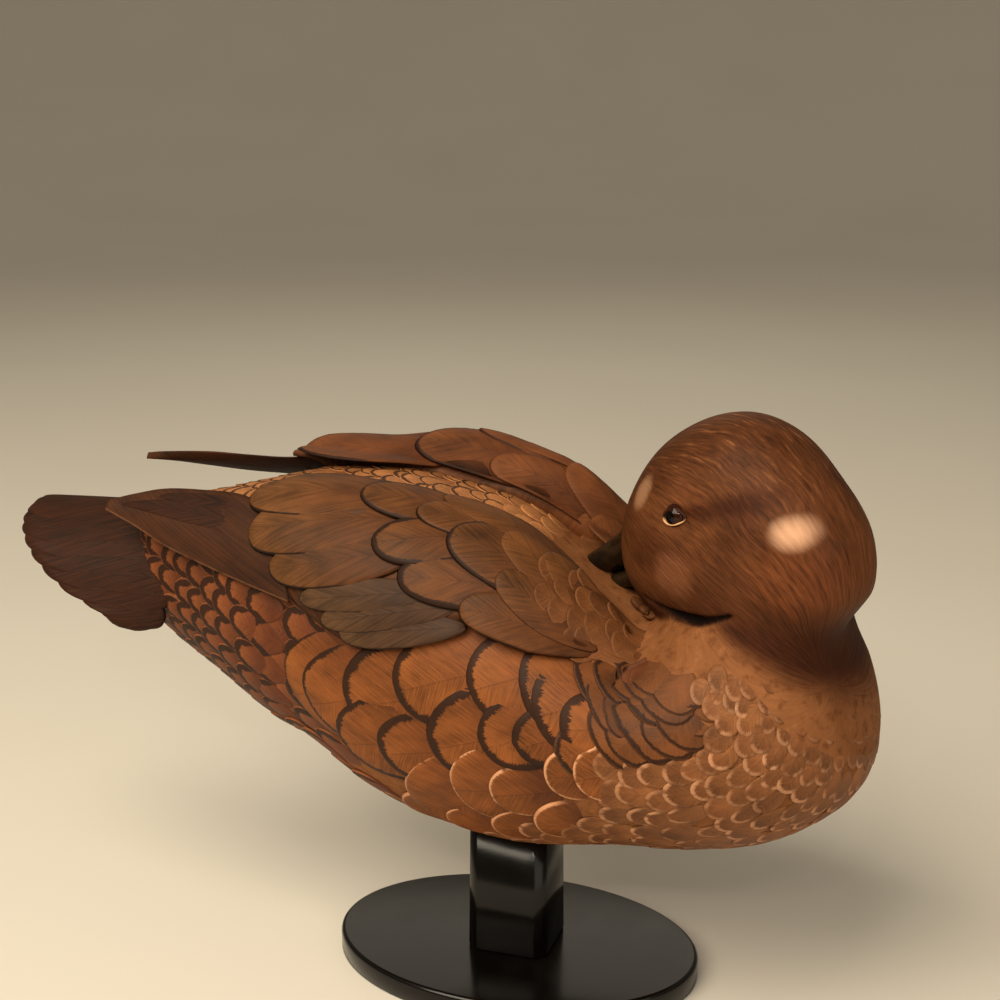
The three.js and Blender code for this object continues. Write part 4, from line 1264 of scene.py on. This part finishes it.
def wing(side, rows, place, node, paints):
    """One folded wing: its carved shell and the feathers on it, from the lowest ones up."""
    name = "right" if side < 0 else "left"
    covert_colour, tertial_colour = paints
    points, polygons, attributes = wing_shell(rows, place, side, 1.0 if side > 0 else 0.0)
    make_piece(f"wing_{name}_carving", points, polygons, covert_colour, "wing_paint", (node,), attributes)
    feathers = quills(place, side, SECONDARIES, low=-3.0, rise=0.5, crown=0.3, drop=0.7,
                      sides=40, tip=2.4, taper=0.1, seed=21)
    coat(f"secondaries_{name}", [feathers], secondary_paint, "wing_paint")
    feathers = quills(place, side, TERTIALS, low=-2.6, rise=0.5, crown=0.5, drop=1.0,
                      sides=44, tip=2.5, taper=0.15, seed=20)
    coat(f"tertials_{name}", [feathers], tertial_colour, "wing_paint")
    coverts = COVERTS if side < 0 else COVERTS[1:5]
    sets = [quills(place, side, coverts, low=-1.8, rise=0.8, crown=0.4, drop=0.9, sides=36, seed=22),
            quills(place, side, SCAPULARS, low=-1.2, rise=0.8, crown=0.5, drop=0.25, sides=36, seed=23)]
    if side > 0:
        sets.append(quills(place, side, INNER_FEATHERS, low=-1.6, rise=0.7, crown=0.4, drop=0.8,
                           sides=36, seed=24))
    coat(f"coverts_{name}", sets, covert_colour, "wing_paint")
    points, polygons, attributes = mantle_form(rows, side)
    make_piece(f"mantle_{name}_ground", points, polygons, mantle_paint, "wing_paint", (), attributes)
    coat(f"mantle_{name}", [mantle_feathers(side, rows)], mantle_paint, "wing_paint")


wing(-1, WING_RIGHT_ROWS, on_wing_right, "wing_right", (covert_paint, tertial_paint))
wing(1, WING_LEFT_ROWS, on_wing_left, "wing_left", (rufous_paint, rufous_paint))


def wing_tip(name, upper, lower, side, node):
    """The primaries of one folded wing: one broad blade, thin at its edges, and two narrower ones on it."""
    place = on_tip(upper, lower, side)
    along = np.linspace(0, 100, 60)[:, None]
    across = np.concatenate([np.linspace(0, 100, 25), np.linspace(100, 0, 25)])[None]
    back_face = np.arange(50)[None] >= 25
    thick = 0.5 + 2.2 * np.sin(np.pi * across / 100)
    rings = place(along + 0 * across, across + 0 * along, -0.25 - thick * back_face + 0 * along)
    points, polygons = facing_out(*tube(rings))
    chord = np.linalg.norm(curve(upper, along / 100) - curve(lower, along / 100), axis=-1)
    height = chord * across / 100
    length = np.linalg.norm(upper[-1] - upper[0])
    attributes = painted(
        rings.shape[:2], vane=[(4 + 0.9 * height, 0), (along / 100 * length, 0), (height, 0)],
        dye=[(0.5, 0), (along, 0), (length, 0)], tone=[(0, 0), (1, 0), (0, 0)],
    )
    make_piece(f"{name}_blade", points, polygons, blade_paint, "flight_paint", (node,), attributes)
    rows = [[86, 62, -6, 66, 11, 0.0, 0.5, 0.3], [72, 84, -6, 86, 7, 0.0, 0.5, 0.2]]
    feathers = quills(place, 1, rows, low=-1.4, rise=0.3, crown=0.1, drop=0.6,
                      sides=40, tip=1.8, taper=0.0, seed=30)
    coat(f"{name}_vanes", [feathers], flight_paint, "flight_paint")


wing_tip("primaries_right", TIP_RIGHT_UPPER, TIP_RIGHT_LOWER, 1, "primaries_right")
wing_tip("primaries_left", TIP_LEFT_UPPER, TIP_LEFT_LOWER, -1, "primaries_left")

# ---------------------------------------------------------------- tail

TAIL_FEATHERS = 18


def build_tail():
    """A fan of feathers side by side, longest in the middle."""
    across = np.linspace(-1, 1, TAIL_FEATHERS) * (TAIL_ARCH - 5)
    out = np.abs(across) / TAIL_ARCH
    length = at(TAIL_ROWS, out, 1) - at(TAIL_ROWS, out, 2)
    feathers = vanes(on_tail, 50.0, across, length, 19.0, high=-0.1 - 0.9 * out, low=-1.4, rise=0.4,
                     crown=0.2, drop=1.2, sides=44, tip=4.0, taper=0.1, band=0.5, rim=0.3, seed=40)
    coat("tail_fan", [feathers], flight_paint, "flight_paint", ("tail",))


build_tail()

# ---------------------------------------------------------------- bill and eyes


def mandible(name, lower, node, paint):
    """One half of the bill: superelliptic rings between its gape and its outer edge."""
    d = BILL_LENGTH * np.sin(np.linspace(0, np.pi / 2, 40))[:, None]
    thinnest, slit = 1.0, 0.3
    edge = at(BILL_ROWS, d, 2 if lower else 1)
    floor = np.minimum(edge, BILL_GAPE - slit - thinnest) if lower else BILL_GAPE + 0 * d
    roof = BILL_GAPE - slit + 0 * d if lower else np.maximum(edge, BILL_GAPE + thinnest)
    spin = np.linspace(0, 2 * np.pi, 48, endpoint=False)[None]
    half = at(BILL_ROWS, d, 3) * (0.86 if lower else 1)
    beside = half * fuller(np.sin(spin), BILL_FULLNESS)
    height = (roof + floor) / 2 + (roof - floor) / 2 * fuller(np.cos(spin), BILL_FULLNESS)
    if not lower:
        nostril = np.exp(-(((d - 13) / 3.2) ** 2) - ((height - 5) / 1.6) ** 2)
        beside = beside - np.sign(beside) * 1.6 * nostril
    rings = in_head(
        BILL_AHEAD + d * np.cos(BILL_DROP) * np.cos(BILL_SWING) + 0 * beside,
        beside - d * np.sin(BILL_SWING),
        BILL_UP - d * np.sin(BILL_DROP) + height,
    )
    make_piece(name, *facing_out(*tube(rings)), paint, "bill_horn", (node,))


bill_paint = horn_paint()
mandible("bill_upper_horn", False, "bill_upper", bill_paint)
mandible("bill_lower_horn", True, "bill_lower", bill_paint)


def eye(name, side, node, glass, lid):
    """A glass ball set in the head, and the lid round it: a tube along an almond on the head's side."""
    centre = side * (head_half(EYE_AHEAD, EYE_UP) - EYE_RADIUS + EYE_PROUD)
    turn = np.linspace(0, np.pi, 32)[:, None]
    spin = np.linspace(0, 2 * np.pi, 48, endpoint=False)[None]
    ring = in_head(
        EYE_PLACE + EYE_RADIUS * np.sin(turn) * np.cos(spin),
        centre + EYE_RADIUS * np.cos(turn) + 0 * spin,
        EYE_UP + EYE_RADIUS * np.sin(turn) * np.sin(spin),
    )
    points, polygons = facing_out(*tube(ring))
    where = {"head_place": np.stack(from_head(points), -1)}
    make_piece(f"{name}_glass", points, polygons, glass, "eye_glass", (node,), where)
    around = np.linspace(0, 2 * np.pi, 64, endpoint=False)[:, None]
    above = np.maximum(np.sin(around), 0)
    canthus = np.maximum(-np.cos(around), 0) ** 4
    ahead = EYE_AHEAD + 4.0 * np.cos(around) - 1.6 * canthus
    up = EYE_UP + 2.75 * fuller(np.sin(around), 1.9) - 0.5 * np.cos(around)
    reach = head_half(ahead, up) - 0.1
    wide, thick = 0.38 + 0.5 * above - 0.15 * canthus, 0.72 + 0.25 * above - 0.35 * canthus
    profile = np.linspace(0, 2 * np.pi, 16, endpoint=False)[None]
    rings = in_head(
        ahead - swept(reach) + wide * np.cos(around) * np.cos(profile),
        side * (reach + thick * np.sin(profile)),
        up + wide * np.sin(around) * np.cos(profile),
    )
    count, sides = rings.shape[:2]
    here = np.arange(count * sides).reshape(count, sides)
    following, beside = np.roll(here, -1, 0), np.roll(here, -1, 1)
    quads = np.stack([here, beside, np.roll(following, -1, 1), following], -1).reshape(-1, 4)
    points, polygons = facing_out(rings.reshape(-1, 3), [quads])
    where = {"head_place": np.stack(from_head(points), -1)}
    make_piece(f"{name}_lid", points, polygons, lid, "head_paint", (), where)


glass, lid = glass_paint(), lid_paint()
eye("eye_left", 1, "eye_left", glass, lid)
eye("eye_right", -1, "eye_right", glass, lid)

# ---------------------------------------------------------------- stand


def rounded_loft(outline, heights, insets):
    """A closed form through copies of an outline (n, 2), each pulled in by its inset, at these heights."""
    size = np.abs(outline).max(0)
    rings = [np.column_stack([outline * (1 - inset / size), np.full(len(outline), z)])
             for z, inset in zip(heights, insets)]
    return facing_out(*tube(np.stack(rings)))


def build_stand():
    """The square post with rounded chamfers, and the oval foot with a rounded upper edge."""
    paint = lacquer_paint()
    low, high = (np.array(corner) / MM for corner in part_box("stand_base"))
    middle, size = (low + high) / 2, (high - low) / 2
    spin = np.linspace(0, 2 * np.pi, 128, endpoint=False)
    oval = np.stack([size[0] * np.cos(spin), size[1] * np.sin(spin)], -1)
    bend = np.linspace(0, np.pi / 2, 8)
    edge = 1.8
    heights = np.concatenate([[low[2], low[2] + 0.6], high[2] - edge + edge * np.sin(bend)])
    insets = np.concatenate([[0.5, 0], edge - edge * np.cos(bend)])
    points, polygons = rounded_loft(oval, heights, insets)
    points = points + [middle[0], middle[1], 0]
    make_piece("stand_foot", points, polygons, paint, "stand_lacquer", ("stand_base",))
    low, high = (np.array(corner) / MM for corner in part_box("stand_post"))
    half, chamfer, soft = (high[0] - low[0]) / 2, 4.0, 0.8
    corners = np.array([[half, half - chamfer], [half - chamfer, half]])
    quarter = np.concatenate([corners[:1] - [0, soft], corners[:1] - [soft / 2, -soft / 2],
                              corners[1:] - [-soft / 2, soft / 2], corners[1:] - [soft, 0]])
    turns = [np.array([[np.cos(a), -np.sin(a)], [np.sin(a), np.cos(a)]]) for a in np.arange(4) * np.pi / 2]
    outline = np.concatenate([quarter @ turn.T for turn in turns])
    heights = [low[2] + 0.05, low[2] + 0.6, high[2] + 2]
    points, polygons = rounded_loft(outline, heights, [0.4, 0, 0.6])
    points = points + [(low[0] + high[0]) / 2, (low[1] + high[1]) / 2, 0]
    make_piece("stand_post_lacquered", points, polygons, paint, "stand_lacquer", ("stand_post",))


build_stand()

# ---------------------------------------------------------------- floor, light and camera


def build_floor():
    """A wide pale floor that curves up far away on all sides."""
    reach = np.concatenate([np.linspace(0.5, 2.5, 3), 2.5 + 2.5 * np.sin(np.linspace(0.15, np.pi / 2, 9))])
    height = np.concatenate([np.zeros(3), 2.5 - 2.5 * np.cos(np.linspace(0.15, np.pi / 2, 9))])
    spin = np.linspace(0, 2 * np.pi, 96, endpoint=False)
    points = [(r * np.cos(a), r * np.sin(a), z) for r, z in zip(reach, height) for a in spin]
    faces = [(k * 96 + j, (k + 1) * 96 + j, (k + 1) * 96 + (j + 1) % 96, k * 96 + (j + 1) % 96)
             for k in range(len(reach) - 1) for j in range(96)]
    mesh = bpy.data.meshes.new("floor")
    mesh.from_pydata(points, [], [tuple(range(96))] + faces)
    mesh.polygons.foreach_set("use_smooth", np.ones(len(mesh.polygons), bool))
    floor = bpy.data.objects.new("floor", mesh)
    bpy.context.scene.collection.objects.link(floor)
    b = Brush("floor_paint", 0.75)
    grain = b.noise(b.place(), 3.0, 3.0)
    mesh.materials.append(b.finish(b.mix(grain, srgb(206, 200, 188), srgb(214, 208, 197))))


def aim(thing, target):
    """Turns a lamp or a camera to look at the target."""
    x, y, z = target - np.array(thing.location)
    thing.rotation_euler = (np.arctan2(np.hypot(x, y), -z), 0, np.arctan2(y, x) - np.pi / 2)


def lamp(name, size, power, colour, location, target):
    """A square lamp of size metres that looks at the target."""
    light = bpy.data.lights.new(name, "AREA")
    light.size = size
    light.energy = power
    light.color = colour
    thing = bpy.data.objects.new(name, light)
    thing.location = location
    bpy.context.scene.collection.objects.link(thing)
    aim(thing, target)


def build_light():
    """A large soft lamp high on the left, weaker ones right and behind, two sparkles, a pale surround."""
    centre = (np.array(cad_box[0]) + np.array(cad_box[1])) / 2
    lamp("key", 1.1, 33.0, (1.0, 0.885, 0.7), centre + [-0.35, -0.9, 1.1], centre)
    lamp("fill", 1.4, 7.0, (1.0, 0.9, 0.78), centre + [1.2, -0.9, 0.5], centre)
    lamp("back", 1.0, 2.4, (1.0, 0.88, 0.7), centre + [-0.4, 1.3, 1.0], centre)
    for k in range(2):
        place = centre + [0.18 + 0.14 * k, -1.0, 0.62]
        lamp(f"sparkle_{k}", 0.05, 1.0, (1.0, 0.9, 0.76), place, centre)
    world = bpy.data.worlds.new("surround")
    bpy.context.scene.world = world
    world.use_nodes = True
    surround = world.node_tree.nodes["Background"].inputs
    surround["Color"].default_value = (0.62, 0.555, 0.45, 1)
    surround["Strength"].default_value = 0.42


def build_camera():
    """Looks from the right side and a little ahead and above, as in the portrait."""
    azimuth, elevation, distance = np.radians(18), np.radians(15), 0.641
    target = np.array([-0.0073, 0, 0.194])
    level = np.cos(elevation)
    back = np.array([np.sin(azimuth) * level, -np.cos(azimuth) * level, np.sin(elevation)])
    camera = bpy.data.cameras.new("portrait")
    camera.lens, camera.sensor_width = 60, 36
    camera.clip_start, camera.clip_end = 0.01, 100
    thing = bpy.data.objects.new("portrait", camera)
    thing.location = target + back * distance
    bpy.context.scene.collection.objects.link(thing)
    aim(thing, target)
    bpy.context.scene.camera = thing


build_floor()
build_light()
build_camera()
bpy.context.scene.view_settings.view_transform = "Standard"
